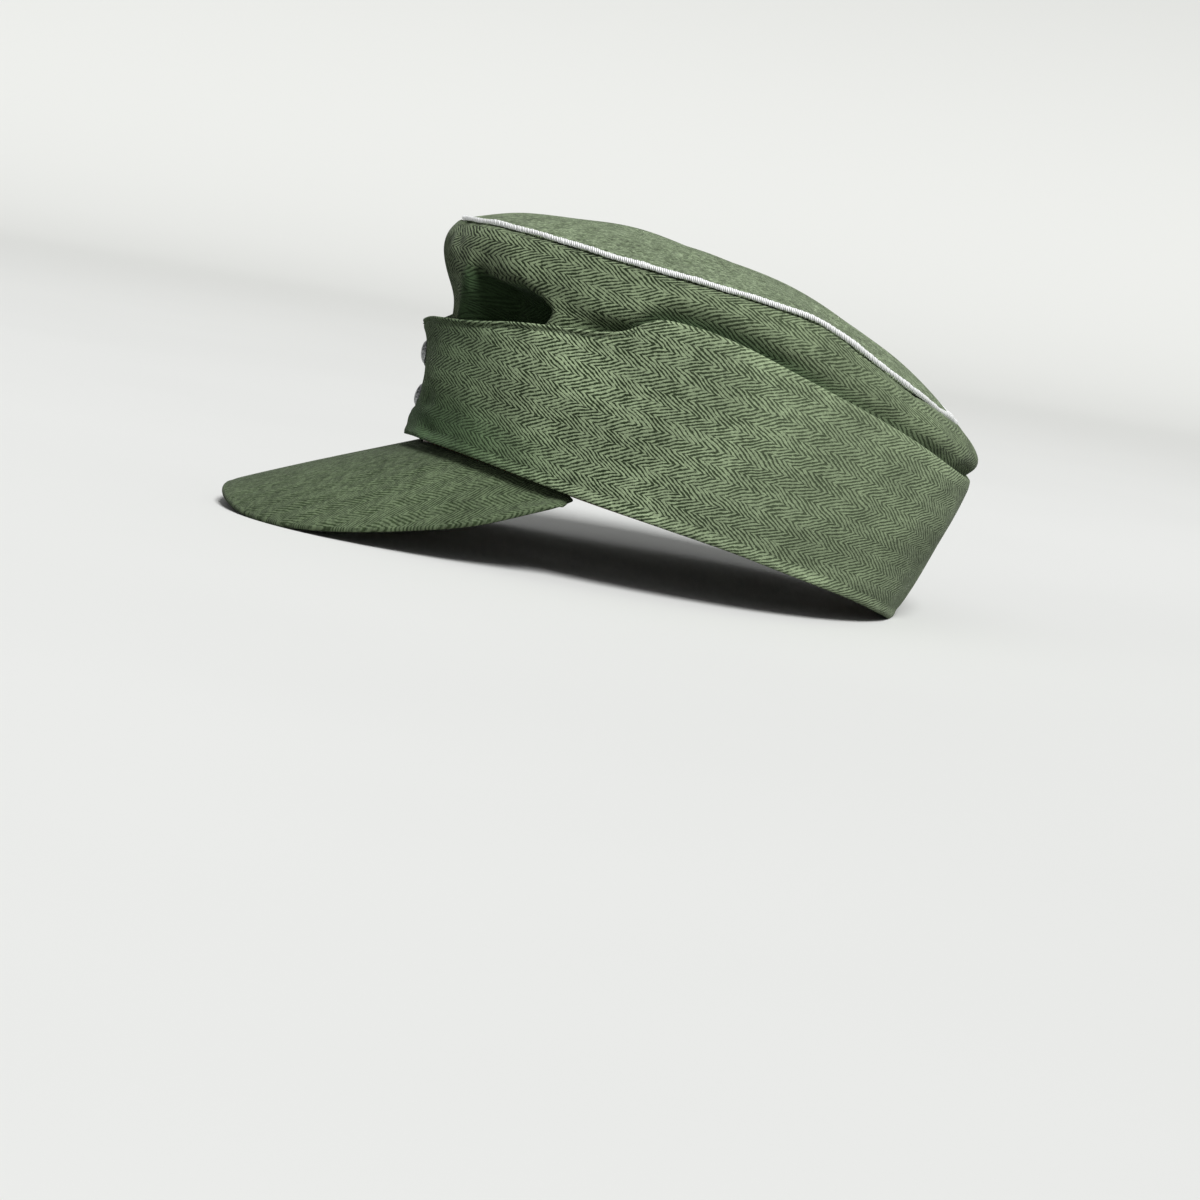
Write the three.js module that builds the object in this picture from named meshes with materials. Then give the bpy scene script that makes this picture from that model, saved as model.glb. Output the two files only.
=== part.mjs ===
// Field cap: a soft cloth crown with a folded side flap, a stiff cloth-covered peak, two front buttons,
// a bright piping cord round the top seam and a leather sweatband.
//
// Millimetres. The cap is drawn level, as it sits on a head: the origin is the centre of the rim,
// +Z is up, the peak points to -Y and +X is the wearer's left. Angles run round the rim from the
// front, and grow towards +X. The finished cap is then laid back on the table that it rests on,
// standing on the two low sides of its peak and on the rear of its rim.

import * as THREE from 'three';

// Head oval. It is widest a little behind its middle, and slightly fuller than an ellipse.
const WIDEST_Y = 12;
const OVAL_POWER = 2.15;

// Cloth and leather thicknesses, and the gap that neighbouring pieces keep.
const GAP = 0.3;
const CROWN_THICKNESS = 2.2;
const TOP_THICKNESS = 2.0;
const FLAP_THICKNESS = 2.4;
const PEAK_THICKNESS = 3.2;
const SWEATBAND_THICKNESS = 1.2;

// The top panel is sewn to the crown wall inside the piping cord.
const PIPING_RADIUS = 1.25;
const PIPING_SEAT = { out: -0.2, up: 1.55 };
const TOP_EDGE = { inset: 1.7, up: 0.8 };
const TOP_CENTRE = { y: -12, z: 114.0 };
const DOME_POWER = 2.6;

// The flap goes once round the cap. Its left end laps over its right end at the front.
const LAP_ANGLE = 6.1;
const TUCK_ENDS_AT = 9;
const TUCK_FADES_BY = 24;
const FLAP_EDGE_ROUNDING = 0.15;

// The sweatband shows a little below the rim, except at the rear, where the rim meets the table.
const SWEATBAND_HEIGHT = 32;
const SWEATBAND_DROP = 1.0;
const SWEATBAND_RISES = { from: 100, to: 140 };

// Peak: sewn under the rim as far back as this angle, and cut to a half oval.
const PEAK_SEAM_ANGLE = 71;
const PEAK_SEAM_INSET = 1.1;
const PEAK_HALF_WIDTH = 86;
const PEAK_CORNER_Y = -31;
const PEAK_REACH = 141;
const PEAK_POWER = 2.2;
const PEAK_BOW = 0.8;
const PEAK_EDGE = { swell: 0.7, upperShare: 0.3, lowerShare: 0.7 };

// Buttons are small domed metal ones on the front centre line, at these heights above the rim.
const BUTTON_RADIUS = 5.75;
const BUTTON_DEPTH = 3.4;
const BUTTON_PROFILE = [
  { out: 0, up: 0 },
  { out: 0.8, up: 0 },
  { out: 1, up: 0.18 },
  { out: 1, up: 0.35 },
  { out: 0.78, up: 0.74 },
  { out: 0.42, up: 0.95 },
  { out: 0, up: 1 },
];
const BUTTON_HEIGHTS = { button_upper: 34.5, button_lower: 17 };

// Where the cap meets the table. The soft cloth is pressed flat there by this much.
const PEAK_FOOT = { y: -142.3, z: -48.5 };
const REAR_FOOT = { y: 107.5, z: 0.5 };
const PRESSED_FLAT = 0.8;

const FINISHES = {
  cloth: { color: 0x5c6e54, roughness: 0.92, metalness: 0 },
  piping: { color: 0xc9ccd0, roughness: 0.5, metalness: 0.3 },
  metal: { color: 0xb4b7b9, roughness: 0.45, metalness: 0.8 },
  leather: { color: 0x6e4a35, roughness: 0.6, metalness: 0 },
};

// Crown wall in plan, by its share of the way up from the rim to the top seam.
const CROWN_PLAN = [
  { share: 0.00, front: -102.8, rear: 104.5, half: 84.0 },
  { share: 0.25, front: -102.8, rear: 108.2, half: 85.0 },
  { share: 0.50, front: -104.8, rear: 110.8, half: 86.0 },
  { share: 0.65, front: -109.0, rear: 113.3, half: 86.5 },
  { share: 0.77, front: -115.7, rear: 115.6, half: 86.5 },
  { share: 0.85, front: -119.2, rear: 118.3, half: 86.0 },
  { share: 0.93, front: -119.5, rear: 114.0, half: 84.0 },
  { share: 1.00, front: -116.5, rear: 104.5, half: 80.5 },
];

// Flap in plan, by height above the rim.
const FLAP_PLAN = [
  { height: 0, front: -109.0, rear: 108.0, half: 88.0 },
  { height: 9, front: -108.5, rear: 110.2, half: 89.5 },
  { height: 21, front: -108.5, rear: 112.8, half: 90.5 },
  { height: 35, front: -112.0, rear: 115.4, half: 91.5 },
  { height: 48, front: -115.5, rear: 117.7, half: 92.0 },
  { height: 65, front: -119.0, rear: 119.3, half: 92.0 },
  { height: 85, front: -120.0, rear: 119.5, half: 92.0 },
];

// Height of the rim, which is arched over the ears, by angle from the front.
const RIM_EDGE = [
  { angle: 0, height: 0.0 },
  { angle: 22.5, height: 3.5 },
  { angle: 46, height: 6.8 },
  { angle: 71, height: 8.6 },
  { angle: 100, height: 10.6 },
  { angle: 121, height: 9.2 },
  { angle: 138.5, height: 7.0 },
  { angle: 158, height: 2.9 },
  { angle: 170, height: 0.4 },
  { angle: 180, height: 0.0 },
];

// Top edge of the flap: low at the front, with a step up to a point above the peak's corner.
const FLAP_TOP_EDGE = [
  { angle: 0, height: 48.5 },
  { angle: 20, height: 52.5 },
  { angle: 37, height: 57.3 },
  { angle: 51, height: 64.5 },
  { angle: 60, height: 69.0 },
  { angle: 67.5, height: 72.8 },
  { angle: 72, height: 76.8 },
  { angle: 76, height: 84.6 },
  { angle: 80, height: 87.0 },
  { angle: 87, height: 88.0 },
  { angle: 102, height: 84.4 },
  { angle: 128, height: 77.4 },
  { angle: 156, height: 68.5 },
  { angle: 180, height: 65.0 },
];

// Top seam of the crown wall, by angle from the front.
const SEAM_EDGE = [
  { angle: 0, height: 92.0 },
  { angle: 18, height: 92.8 },
  { angle: 34, height: 95.8 },
  { angle: 52, height: 98.6 },
  { angle: 66, height: 100.4 },
  { angle: 79, height: 102.8 },
  { angle: 90, height: 104.6 },
  { angle: 98, height: 105.2 },
  { angle: 106, height: 104.4 },
  { angle: 119, height: 100.2 },
  { angle: 131, height: 95.4 },
  { angle: 141, height: 91.9 },
  { angle: 154, height: 88.2 },
  { angle: 180, height: 84.5 },
];

// Underside of the peak's cut edge, by angle round its own half oval from the tip.
const PEAK_UNDER_EDGE = [
  { angle: 0, height: -48.6 },
  { angle: 10, height: -49.2 },
  { angle: 20, height: -50.2 },
  { angle: 30, height: -50.5 },
  { angle: 40, height: -48.5 },
  { angle: 50, height: -44.0 },
  { angle: 60, height: -36.9 },
  { angle: 70, height: -27.4 },
  { angle: 80, height: -15.5 },
  { angle: 90, height: 2.7 },
];

// Hollows and ridges of the crown wall. A negative depth is a ridge. Widths are in degrees.
const CROWN_FOLDS = [
  { name: 'front hollow', angle: 38, height: 67, width: 10, tall: 12, depth: 14, bothSides: true },
  { name: 'ridge ahead of it', angle: 22, height: 70, width: 6, tall: 17, depth: -2.5, bothSides: true },
  { name: 'hollow by the centre', angle: 11, height: 66, width: 5, tall: 9, depth: 3, bothSides: true },
  { name: 'drawn in by the buttons', angle: 0, height: 20, width: 12, tall: 10, depth: 1.8, bothSides: true },
  { name: 'dent over the ear', angle: 94, height: 95, width: 7, tall: 5, depth: 1.6, bothSides: false },
  { name: 'dent behind the ear', angle: 113, height: 90, width: 6, tall: 5, depth: 1.6, bothSides: false },
];

const CROWN_ROWS = [0, 0.08, 0.2, 0.34, 0.46, 0.56, 0.64, 0.71, 0.78, 0.84, 0.9, 0.95, 1];
const FLAP_ROWS = [0, 0.06, 0.24, 0.43, 0.62, 0.81, 0.95, 1];
const TOP_RINGS = [0, 0.1, 0.26, 0.46, 0.7];
const PEAK_ROWS = [0, 0.14, 0.3, 0.46, 0.62, 0.78, 0.92, 1];
const PEAK_COLUMNS = 34;
const FRONT_ARC = 88;
const FRONT_STEP = 4;
const REAR_STEPS = 28;
const FLAP_STEPS = [
  { to: -22, step: 4 },
  { to: -62, step: 5 },
  { to: -82, step: 2.5 },
  { to: -160, step: 6.5 },
  { to: -200, step: 4 },
  { to: -278, step: 6.5 },
  { to: -298, step: 2.5 },
  { to: -338, step: 5 },
  { to: -360 - LAP_ANGLE, step: 4 },
];
const SWEATBAND_ROWS = [0, 0.25, 0.5, 0.75, 1];
const PIPING_SIDES = 8;
const BUTTON_SIDES = 16;

const DEGREE = Math.PI / 180;
const TINY_ANGLE = 0.2;
const TINY_SHARE = 0.004;

// Angle from the front, 0 to 180, the same on both sides of the cap.
function folded(angle) {
  const turned = ((angle % 360) + 360) % 360;
  return turned > 180 ? 360 - turned : turned;
}

// A smooth curve through one column of a table. With level ends, it is level at both ends.
function curveThrough(rows, key, value, levelEnds) {
  const slopes = rows.map((row, i) => {
    const before = rows[Math.max(i - 1, 0)];
    const after = rows[Math.min(i + 1, rows.length - 1)];
    const atEnd = i === 0 || i === rows.length - 1;
    return atEnd && levelEnds ? 0 : (after[value] - before[value]) / (after[key] - before[key]);
  });
  return (at) => {
    const last = rows.length - 2;
    let i = rows.findIndex((row, k) => k <= last && at <= rows[k + 1][key]);
    i = i < 0 ? last : i;
    const span = rows[i + 1][key] - rows[i][key];
    const t = THREE.MathUtils.clamp((at - rows[i][key]) / span, 0, 1);
    const rise = rows[i + 1][value] - rows[i][value];
    const start = slopes[i] * span;
    const end = slopes[i + 1] * span;
    const bend = 3 * rise - 2 * start - end;
    return rows[i][value] + start * t + bend * t * t + (start + end - 2 * rise) * t ** 3;
  };
}

function planCurves(rows, key) {
  return {
    front: curveThrough(rows, key, 'front', false),
    rear: curveThrough(rows, key, 'rear', false),
    half: curveThrough(rows, key, 'half', false),
  };
}

const crownPlan = planCurves(CROWN_PLAN, 'share');
const flapPlan = planCurves(FLAP_PLAN, 'height');
const rimEdge = curveThrough(RIM_EDGE, 'angle', 'height', true);
const flapTopEdge = curveThrough(FLAP_TOP_EDGE, 'angle', 'height', true);
const seamEdge = curveThrough(SEAM_EDGE, 'angle', 'height', true);
const peakEdge = curveThrough(PEAK_UNDER_EDGE, 'angle', 'height', false);

// A point of the head oval with the given front, rear and half width.
function ovalPoint(angle, front, rear, half, height) {
  const ahead = Math.cos(angle * DEGREE);
  const across = Math.sin(angle * DEGREE);
  const reach = ahead > 0 ? WIDEST_Y - front : rear - WIDEST_Y;
  const power = 2 / OVAL_POWER;
  const x = half * Math.sign(across) * Math.abs(across) ** power;
  const y = WIDEST_Y - Math.sign(ahead) * reach * Math.abs(ahead) ** power;
  return new THREE.Vector3(x, y, height);
}

// How far the crown wall is pushed in at a place.
function crownFold(angle, height) {
  const signed = ((angle % 360) + 540) % 360 - 180;
  let depth = 0;
  for (const fold of CROWN_FOLDS) {
    const along = ((fold.bothSides ? Math.abs(signed) : signed) - fold.angle) / fold.width;
    const up = (height - fold.height) / fold.tall;
    depth += fold.depth * Math.exp(-along * along - up * up);
  }
  return depth;
}

// Outer face of the crown wall, by angle and by share of the way up to the seam.
function crownFace(angle, share) {
  const place = folded(angle);
  const height = THREE.MathUtils.lerp(rimEdge(place), seamEdge(place), share);
  const point = ovalPoint(angle, crownPlan.front(share), crownPlan.rear(share), crownPlan.half(share), height);
  const inward = new THREE.Vector3(-point.x, WIDEST_Y - point.y, 0).normalize();
  return point.addScaledVector(inward, crownFold(angle, height));
}

// How far the flap's right end is tucked in to pass under its left end.
function lapTuck(turn) {
  const fade = THREE.MathUtils.smoothstep(-turn, TUCK_ENDS_AT, TUCK_FADES_BY);
  return (FLAP_THICKNESS + GAP) * (1 - fade);
}

// Outer face of the flap. Its turn runs from the right end under the lap, back round the far side
// and the rear, and forward again past the front centre.
function flapFace(turn, share) {
  const place = folded(turn);
  const height = THREE.MathUtils.lerp(rimEdge(place), flapTopEdge(place), share);
  const point = ovalPoint(turn, flapPlan.front(height), flapPlan.rear(height), flapPlan.half(height), height);
  const inward = new THREE.Vector3(-point.x, WIDEST_Y - point.y, 0).normalize();
  return point.addScaledVector(inward, lapTuck(turn));
}

// Outer face of the top panel, by angle and by share of the way in from its edge to its centre.
function topFace(angle, share) {
  const seam = crownFace(angle, 1);
  const centre = new THREE.Vector3(0, TOP_CENTRE.y, seam.z);
  const spoke = seam.clone().sub(centre);
  const length = spoke.length() - TOP_EDGE.inset;
  const point = centre.addScaledVector(spoke.normalize(), length * (1 - share));
  const edgeHeight = seam.z + TOP_EDGE.up;
  point.z = edgeHeight + (TOP_CENTRE.z - edgeHeight) * (1 - (1 - share) ** DOME_POWER);
  return point;
}

// Upper face of the peak. Across runs from -1 to 1, and share from the rim seam to the cut edge.
function peakFace(across, share) {
  const seamAngle = across * PEAK_SEAM_ANGLE;
  const seamPlace = folded(seamAngle);
  const seam = offsetPoint(crownFace, seamAngle, 0, PEAK_SEAM_INSET);
  seam.z = rimEdge(seamPlace) - GAP;
  const cutAngle = Math.abs(across) * 90;
  const power = 2 / PEAK_POWER;
  const x = PEAK_HALF_WIDTH * Math.sign(across) * Math.sin(cutAngle * DEGREE) ** power;
  const y = PEAK_CORNER_Y - PEAK_REACH * Math.cos(cutAngle * DEGREE) ** power;
  const cut = new THREE.Vector3(x, y, peakEdge(cutAngle) + PEAK_THICKNESS);
  const point = seam.lerp(cut, share);
  point.z += PEAK_BOW * 4 * share * (1 - share) * Math.cos(across * 90 * DEGREE);
  return point;
}

// The point of a face moved in behind it, at right angles, by a depth.
function offsetPoint(face, along, share, depth) {
  const point = face(along, share);
  const ahead = face(along + TINY_ANGLE, share).sub(face(along - TINY_ANGLE, share));
  const above = face(along, Math.min(share + TINY_SHARE, 1)).sub(face(along, Math.max(share - TINY_SHARE, 0)));
  const outward = ahead.cross(above).normalize();
  return point.addScaledVector(outward, -depth);
}

// A closed geometry from points and triangles, with its faces pointing out.
function closedGeometry(points, triangles) {
  let volume = 0;
  for (const [a, b, c] of triangles) {
    volume += points[a].dot(points[b].clone().cross(points[c]));
  }
  const ordered = volume < 0 ? triangles.map(([a, b, c]) => [a, c, b]) : triangles;
  const geometry = new THREE.BufferGeometry();
  geometry.setAttribute('position', new THREE.Float32BufferAttribute(points.flatMap((p) => p.toArray()), 3));
  geometry.setIndex(ordered.flat());
  geometry.computeVertexNormals();
  return geometry;
}

// A skin over a row of matching section loops. A ring joins its last section to its first. An open
// row is closed at each end by a strip across the loop, whose first half faces its second half.
function loft(sections, ring) {
  const size = sections[0].length;
  const triangles = [];
  const joins = ring ? sections.length : sections.length - 1;
  for (let i = 0; i < joins; i += 1) {
    const here = i * size;
    const next = ((i + 1) % sections.length) * size;
    for (let j = 0; j < size; j += 1) {
      const k = (j + 1) % size;
      triangles.push([here + j, here + k, next + k]);
      triangles.push([here + j, next + k, next + j]);
    }
  }
  if (!ring) {
    const far = (sections.length - 1) * size;
    for (let j = 0; j < size / 2 - 1; j += 1) {
      const mate = size - 1 - j;
      triangles.push([j, mate, mate - 1], [j, mate - 1, j + 1]);
      triangles.push([far + j, far + mate - 1, far + mate], [far + j, far + j + 1, far + mate - 1]);
    }
  }
  return closedGeometry(sections.flat(), triangles);
}

// Angles round the whole cap, closer together at the front where the cloth is most folded.
function stations() {
  const angles = [];
  for (let angle = -FRONT_ARC; angle <= FRONT_ARC; angle += FRONT_STEP) {
    angles.push(angle);
  }
  for (let i = 1; i < REAR_STEPS; i += 1) {
    angles.push(FRONT_ARC + ((360 - 2 * FRONT_ARC) * i) / REAR_STEPS);
  }
  return angles;
}

// Turns of the flap, from its right end to its left end, closer at the step in its top edge.
function flapTurns() {
  const turns = [LAP_ANGLE];
  let from = LAP_ANGLE;
  for (const zone of FLAP_STEPS) {
    const steps = Math.round((from - zone.to) / zone.step);
    for (let i = 1; i <= steps; i += 1) {
      turns.push(from + ((zone.to - from) * i) / steps);
    }
    from = zone.to;
  }
  return turns;
}

// A loop round the thickness of a wall: up its outer face, then down its inner face.
function wallLoop(face, along, rows, depthOut, depthIn) {
  const outer = rows.map((share) => offsetPoint(face, along, share, depthOut(share)));
  const inner = rows.map((share) => offsetPoint(face, along, share, depthIn(share)));
  return [...outer, ...inner.reverse()];
}

function crownWall() {
  const loops = stations().map((angle) =>
    wallLoop(crownFace, angle, CROWN_ROWS, () => 0, () => CROWN_THICKNESS));
  return loft(loops, true);
}

function crownTop() {
  const angles = stations();
  const loops = angles.map((angle) => wallLoop(topFace, angle, TOP_RINGS, () => 0, () => TOP_THICKNESS));
  const size = loops[0].length;
  const points = loops.flat();
  const upperPole = points.push(new THREE.Vector3(0, TOP_CENTRE.y, TOP_CENTRE.z)) - 1;
  const lowerPole = points.push(new THREE.Vector3(0, TOP_CENTRE.y, TOP_CENTRE.z - TOP_THICKNESS)) - 1;
  const innermost = TOP_RINGS.length - 1;
  const triangles = [];
  for (let i = 0; i < angles.length; i += 1) {
    const here = i * size;
    const next = ((i + 1) % angles.length) * size;
    for (let j = 0; j < size; j += 1) {
      const k = (j + 1) % size;
      if (j !== innermost) {
        triangles.push([here + j, here + k, next + k], [here + j, next + k, next + j]);
      }
    }
    triangles.push([here + innermost, upperPole, next + innermost]);
    triangles.push([here + innermost + 1, next + innermost + 1, lowerPole]);
  }
  return closedGeometry(points, triangles);
}

function crownPiping() {
  const loops = stations().map((angle) => {
    const seam = crownFace(angle, 1);
    const run = crownFace(angle + TINY_ANGLE, 1).sub(crownFace(angle - TINY_ANGLE, 1));
    const outward = new THREE.Vector3(-run.y, run.x, 0).normalize();
    if (outward.dot(new THREE.Vector3(seam.x, seam.y - WIDEST_Y, 0)) < 0) {
      outward.negate();
    }
    const centre = seam.addScaledVector(outward, PIPING_SEAT.out);
    centre.z += PIPING_SEAT.up;
    return Array.from({ length: PIPING_SIDES }, (unused, side) => {
      const around = (2 * Math.PI * side) / PIPING_SIDES;
      const point = centre.clone().addScaledVector(outward, PIPING_RADIUS * Math.cos(around));
      point.z += PIPING_RADIUS * Math.sin(around);
      return point;
    });
  });
  return loft(loops, true);
}

function flap() {
  const rounded = (share) => (share === 0 || share === 1 ? FLAP_THICKNESS * FLAP_EDGE_ROUNDING : 0);
  const loops = flapTurns().map((turn) =>
    wallLoop(flapFace, turn, FLAP_ROWS, rounded, (share) => FLAP_THICKNESS - rounded(share)));
  return loft(loops, false);
}

function sweatband() {
  const loops = stations().map((angle) => {
    const place = folded(angle);
    const wallHeight = seamEdge(place) - rimEdge(place);
    const rise = THREE.MathUtils.smoothstep(place, SWEATBAND_RISES.from, SWEATBAND_RISES.to);
    const drop = SWEATBAND_DROP * (1 - rise);
    const rows = SWEATBAND_ROWS.map((row) => (row * SWEATBAND_HEIGHT) / wallHeight);
    const outDepth = CROWN_THICKNESS + GAP;
    const loop = wallLoop(crownFace, angle, rows, () => outDepth, () => outDepth + SWEATBAND_THICKNESS);
    loop[0].z = rimEdge(place) - drop;
    loop[loop.length - 1].z = rimEdge(place) - drop;
    return loop;
  });
  return loft(loops, true);
}

function peak() {
  const across = Array.from({ length: PEAK_COLUMNS + 1 }, (unused, i) => -1 + (2 * i) / PEAK_COLUMNS);
  const loops = across.map((place) => {
    const upper = PEAK_ROWS.map((share) => peakFace(place, share));
    const cut = upper[upper.length - 1];
    const outward = cut.clone().sub(upper[0]).setZ(0).normalize();
    const lower = upper.map((point) => point.clone().setZ(point.z - PEAK_THICKNESS));
    const swollen = cut.clone().addScaledVector(outward, PEAK_EDGE.swell);
    const edgeUpper = swollen.clone().setZ(cut.z - PEAK_THICKNESS * PEAK_EDGE.upperShare);
    const edgeLower = swollen.clone().setZ(cut.z - PEAK_THICKNESS * PEAK_EDGE.lowerShare);
    return [...upper, edgeUpper, edgeLower, ...lower.reverse()];
  });
  return loft(loops, false);
}

// A button lies on the flap's outer face. Its axis is the lathe's Y axis, turned to point outwards.
function buttonGeometry() {
  const profile = BUTTON_PROFILE.map(({ out, up }) =>
    new THREE.Vector2(out * BUTTON_RADIUS, up * BUTTON_DEPTH));
  return new THREE.LatheGeometry(profile, BUTTON_SIDES);
}

function namedMesh(name, geometry, finish) {
  const mesh = new THREE.Mesh(geometry, new THREE.MeshStandardMaterial(finish));
  mesh.name = name;
  return mesh;
}

function buttonMesh(name, height) {
  const mesh = namedMesh(name, buttonGeometry(), FINISHES.metal);
  const share = height / flapTopEdge(0);
  const seat = flapFace(-360, share);
  const below = flapFace(-360, share - TINY_SHARE);
  const outward = new THREE.Vector3(0, -(seat.z - below.z), seat.y - below.y).normalize();
  mesh.quaternion.setFromUnitVectors(new THREE.Vector3(0, 1, 0), outward);
  mesh.position.copy(seat.addScaledVector(outward, GAP));
  return mesh;
}

const worn = new THREE.Group();
worn.add(namedMesh('crown_wall', crownWall(), FINISHES.cloth));
worn.add(namedMesh('crown_top', crownTop(), FINISHES.cloth));
worn.add(namedMesh('crown_piping', crownPiping(), FINISHES.piping));
worn.add(namedMesh('flap', flap(), FINISHES.cloth));
worn.add(namedMesh('peak', peak(), FINISHES.cloth));
worn.add(namedMesh('sweatband', sweatband(), FINISHES.leather));
for (const [name, height] of Object.entries(BUTTON_HEIGHTS)) {
  worn.add(buttonMesh(name, height));
}

// The table meets the peak's low sides and the rear of the rim, so the cap leans back until both
// are level. Cloth that would pass the table top is pressed flat on it.
const restLean = Math.atan2(REAR_FOOT.z - PEAK_FOOT.z, REAR_FOOT.y - PEAK_FOOT.y);
worn.rotation.x = -restLean;
worn.updateMatrixWorld(true);

function lowestPoint(group) {
  return new THREE.Box3().setFromObject(group, true).min.z;
}

function pressFlat(group, tableHeight) {
  for (const mesh of group.children) {
    const places = mesh.geometry.attributes.position;
    const back = mesh.matrixWorld.clone().invert();
    const point = new THREE.Vector3();
    for (let i = 0; i < places.count; i += 1) {
      point.fromBufferAttribute(places, i).applyMatrix4(mesh.matrixWorld);
      if (point.z < tableHeight) {
        point.setZ(tableHeight).applyMatrix4(back);
        places.setXYZ(i, point.x, point.y, point.z);
      }
    }
    mesh.geometry.computeVertexNormals();
  }
}

pressFlat(worn, lowestPoint(worn) + PRESSED_FLAT);

// The origin is the middle of the underside of the whole cap's box.
const box = new THREE.Box3().setFromObject(worn, true);
const fieldCap = new THREE.Group();
fieldCap.add(worn);
fieldCap.position.set(0, -(box.min.y + box.max.y) / 2, -box.min.z);

export default fieldCap;
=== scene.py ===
"""Field cap: finished cloth, cord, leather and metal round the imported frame, with camera, floor and light.

The tables give millimetres in the level frame, in which the cap sits on a head: the origin is the
centre of the rim, +Z is up, the peak points to -Y and +X is the wearer's left. Angles run round the
rim from the front and grow towards +X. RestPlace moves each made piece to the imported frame, in which
the cap stands on a table.
"""

import logging
import math
from dataclasses import dataclass, field
from enum import Enum
from typing import Callable, Sequence

import bpy
import numpy as np
from mathutils import Matrix, Vector


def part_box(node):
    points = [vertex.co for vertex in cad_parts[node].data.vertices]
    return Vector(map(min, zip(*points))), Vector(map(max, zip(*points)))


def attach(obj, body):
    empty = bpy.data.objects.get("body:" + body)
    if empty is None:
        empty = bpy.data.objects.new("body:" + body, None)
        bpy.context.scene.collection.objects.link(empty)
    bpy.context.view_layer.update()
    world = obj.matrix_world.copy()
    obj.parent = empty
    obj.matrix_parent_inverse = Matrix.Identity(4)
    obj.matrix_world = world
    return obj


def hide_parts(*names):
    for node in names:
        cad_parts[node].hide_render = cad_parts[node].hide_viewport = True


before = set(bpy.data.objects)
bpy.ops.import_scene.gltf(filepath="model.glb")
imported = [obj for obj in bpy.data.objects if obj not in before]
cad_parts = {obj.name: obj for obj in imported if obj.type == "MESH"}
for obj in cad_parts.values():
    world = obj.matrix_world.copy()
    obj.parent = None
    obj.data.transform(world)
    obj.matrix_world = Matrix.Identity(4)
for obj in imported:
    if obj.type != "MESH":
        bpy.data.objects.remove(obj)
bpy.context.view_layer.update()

LOG = logging.getLogger("field_cap")
MM = 0.001
BODY = "root"
# Name of the vertex attribute that holds painted shade, from 0 to 1.
SHADE_ATTRIBUTE = "painted_shade"

Array = np.ndarray
Surface = Callable[[Array, Array], Array]
Piece = bpy.types.Object
Material = bpy.types.Material
Socket = bpy.types.NodeSocket
Colour = tuple[float, float, float, float]
EdgeTable = tuple[tuple[float, float], ...]

# Head oval: widest a little behind its middle, and slightly fuller than an ellipse.
WIDEST_Y = 12.0
OVAL_POWER = 2.15

# Cloth, cord and leather sizes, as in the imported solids.
CROWN_THICKNESS = 2.2
TOP_THICKNESS = 2.0
FLAP_THICKNESS = 2.4
PEAK_THICKNESS = 3.2
SWEATBAND_THICKNESS = 1.2
PIECE_GAP = 0.3
LAP_ANGLE = 6.1

# Cloth in mm for each degree round the cap, for wave patterns and for the flap's length.
WAVE_ROUND = 1.7
FLAP_ROUND = 1.75

# Wave patterns fade out between these angles, so that the two ends of the wall meet at the rear.
REAR_FADE = (164.0, 178.0)

# Doubles are joined within this distance, in metres.
MERGE_DISTANCE = 0.00002

# Feet of the resting cap, in the level frame: a low side of the peak and the rear of the rim.
PEAK_FOOT = (-142.3, -48.5)
REAR_FOOT = (107.5, 0.5)


class Slot(Enum):
    """The record's material slots."""

    CLOTH = "cloth"
    PIPING = "piping"
    LEATHER = "leather"
    METAL = "button_metal"


@dataclass(frozen=True)
class PlanRow:
    """Front, rear and half width of a ring of cloth at one level."""

    at: float
    front: float
    rear: float
    half: float


@dataclass(frozen=True)
class Fold:
    """A hollow, or with a negative depth a ridge: its place and widths, and how its line runs.

    A wide fold follows slant, in mm up for each degree round, and a tall one follows lean, in
    degrees round for each mm up.
    """

    angle: float
    height: float
    width: float
    tall: float
    depth: float
    both_sides: bool = True
    slant: float = 0.0
    lean: float = 0.0


CROWN_PLAN = (
    PlanRow(0.00, -102.8, 104.5, 84.0),
    PlanRow(0.25, -102.8, 108.2, 85.0),
    PlanRow(0.50, -104.8, 110.8, 86.0),
    PlanRow(0.65, -109.0, 113.3, 86.5),
    PlanRow(0.77, -115.7, 115.6, 86.5),
    PlanRow(0.85, -119.2, 118.3, 86.0),
    PlanRow(0.93, -119.5, 114.0, 84.0),
    PlanRow(1.00, -116.5, 104.5, 80.5),
)

FLAP_PLAN = (
    PlanRow(0, -109.0, 108.0, 88.0),
    PlanRow(9, -108.5, 110.2, 89.5),
    PlanRow(21, -108.5, 112.8, 90.5),
    PlanRow(35, -112.0, 115.4, 91.5),
    PlanRow(48, -115.5, 117.7, 92.0),
    PlanRow(65, -119.0, 119.3, 92.0),
    PlanRow(85, -120.0, 119.5, 92.0),
)

# Edges of the cloth: rows of degrees from the front, and height.
RIM_EDGE = (
    (0, 0.0), (22.5, 3.5), (46, 6.8), (71, 8.6), (100, 10.6), (121, 9.2), (138.5, 7.0), (158, 2.9),
    (170, 0.4), (180, 0.0),
)

FLAP_TOP_EDGE = (
    (0, 48.5), (20, 52.5), (37, 57.3), (51, 64.5), (60, 69.0), (67.5, 72.8), (72, 76.8), (76, 84.6),
    (80, 87.0), (87, 88.0), (102, 84.4), (128, 77.4), (156, 68.5), (180, 65.0),
)

SEAM_EDGE = (
    (0, 92.0), (18, 92.8), (34, 95.8), (52, 98.6), (66, 100.4), (79, 102.8), (90, 104.6),
    (98, 105.2), (106, 104.4), (119, 99.0), (131, 94.0), (141, 91.2), (154, 88.2), (180, 84.5),
)

PEAK_UNDER_EDGE = (
    (0, -48.6), (10, -49.2), (20, -50.2), (30, -50.5), (40, -48.5), (50, -44.0), (60, -36.9),
    (70, -27.4), (80, -15.5), (90, 2.7),
)

SOFT_HOLLOW = Fold(38, 67, 10, 12, 14.0)

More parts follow.
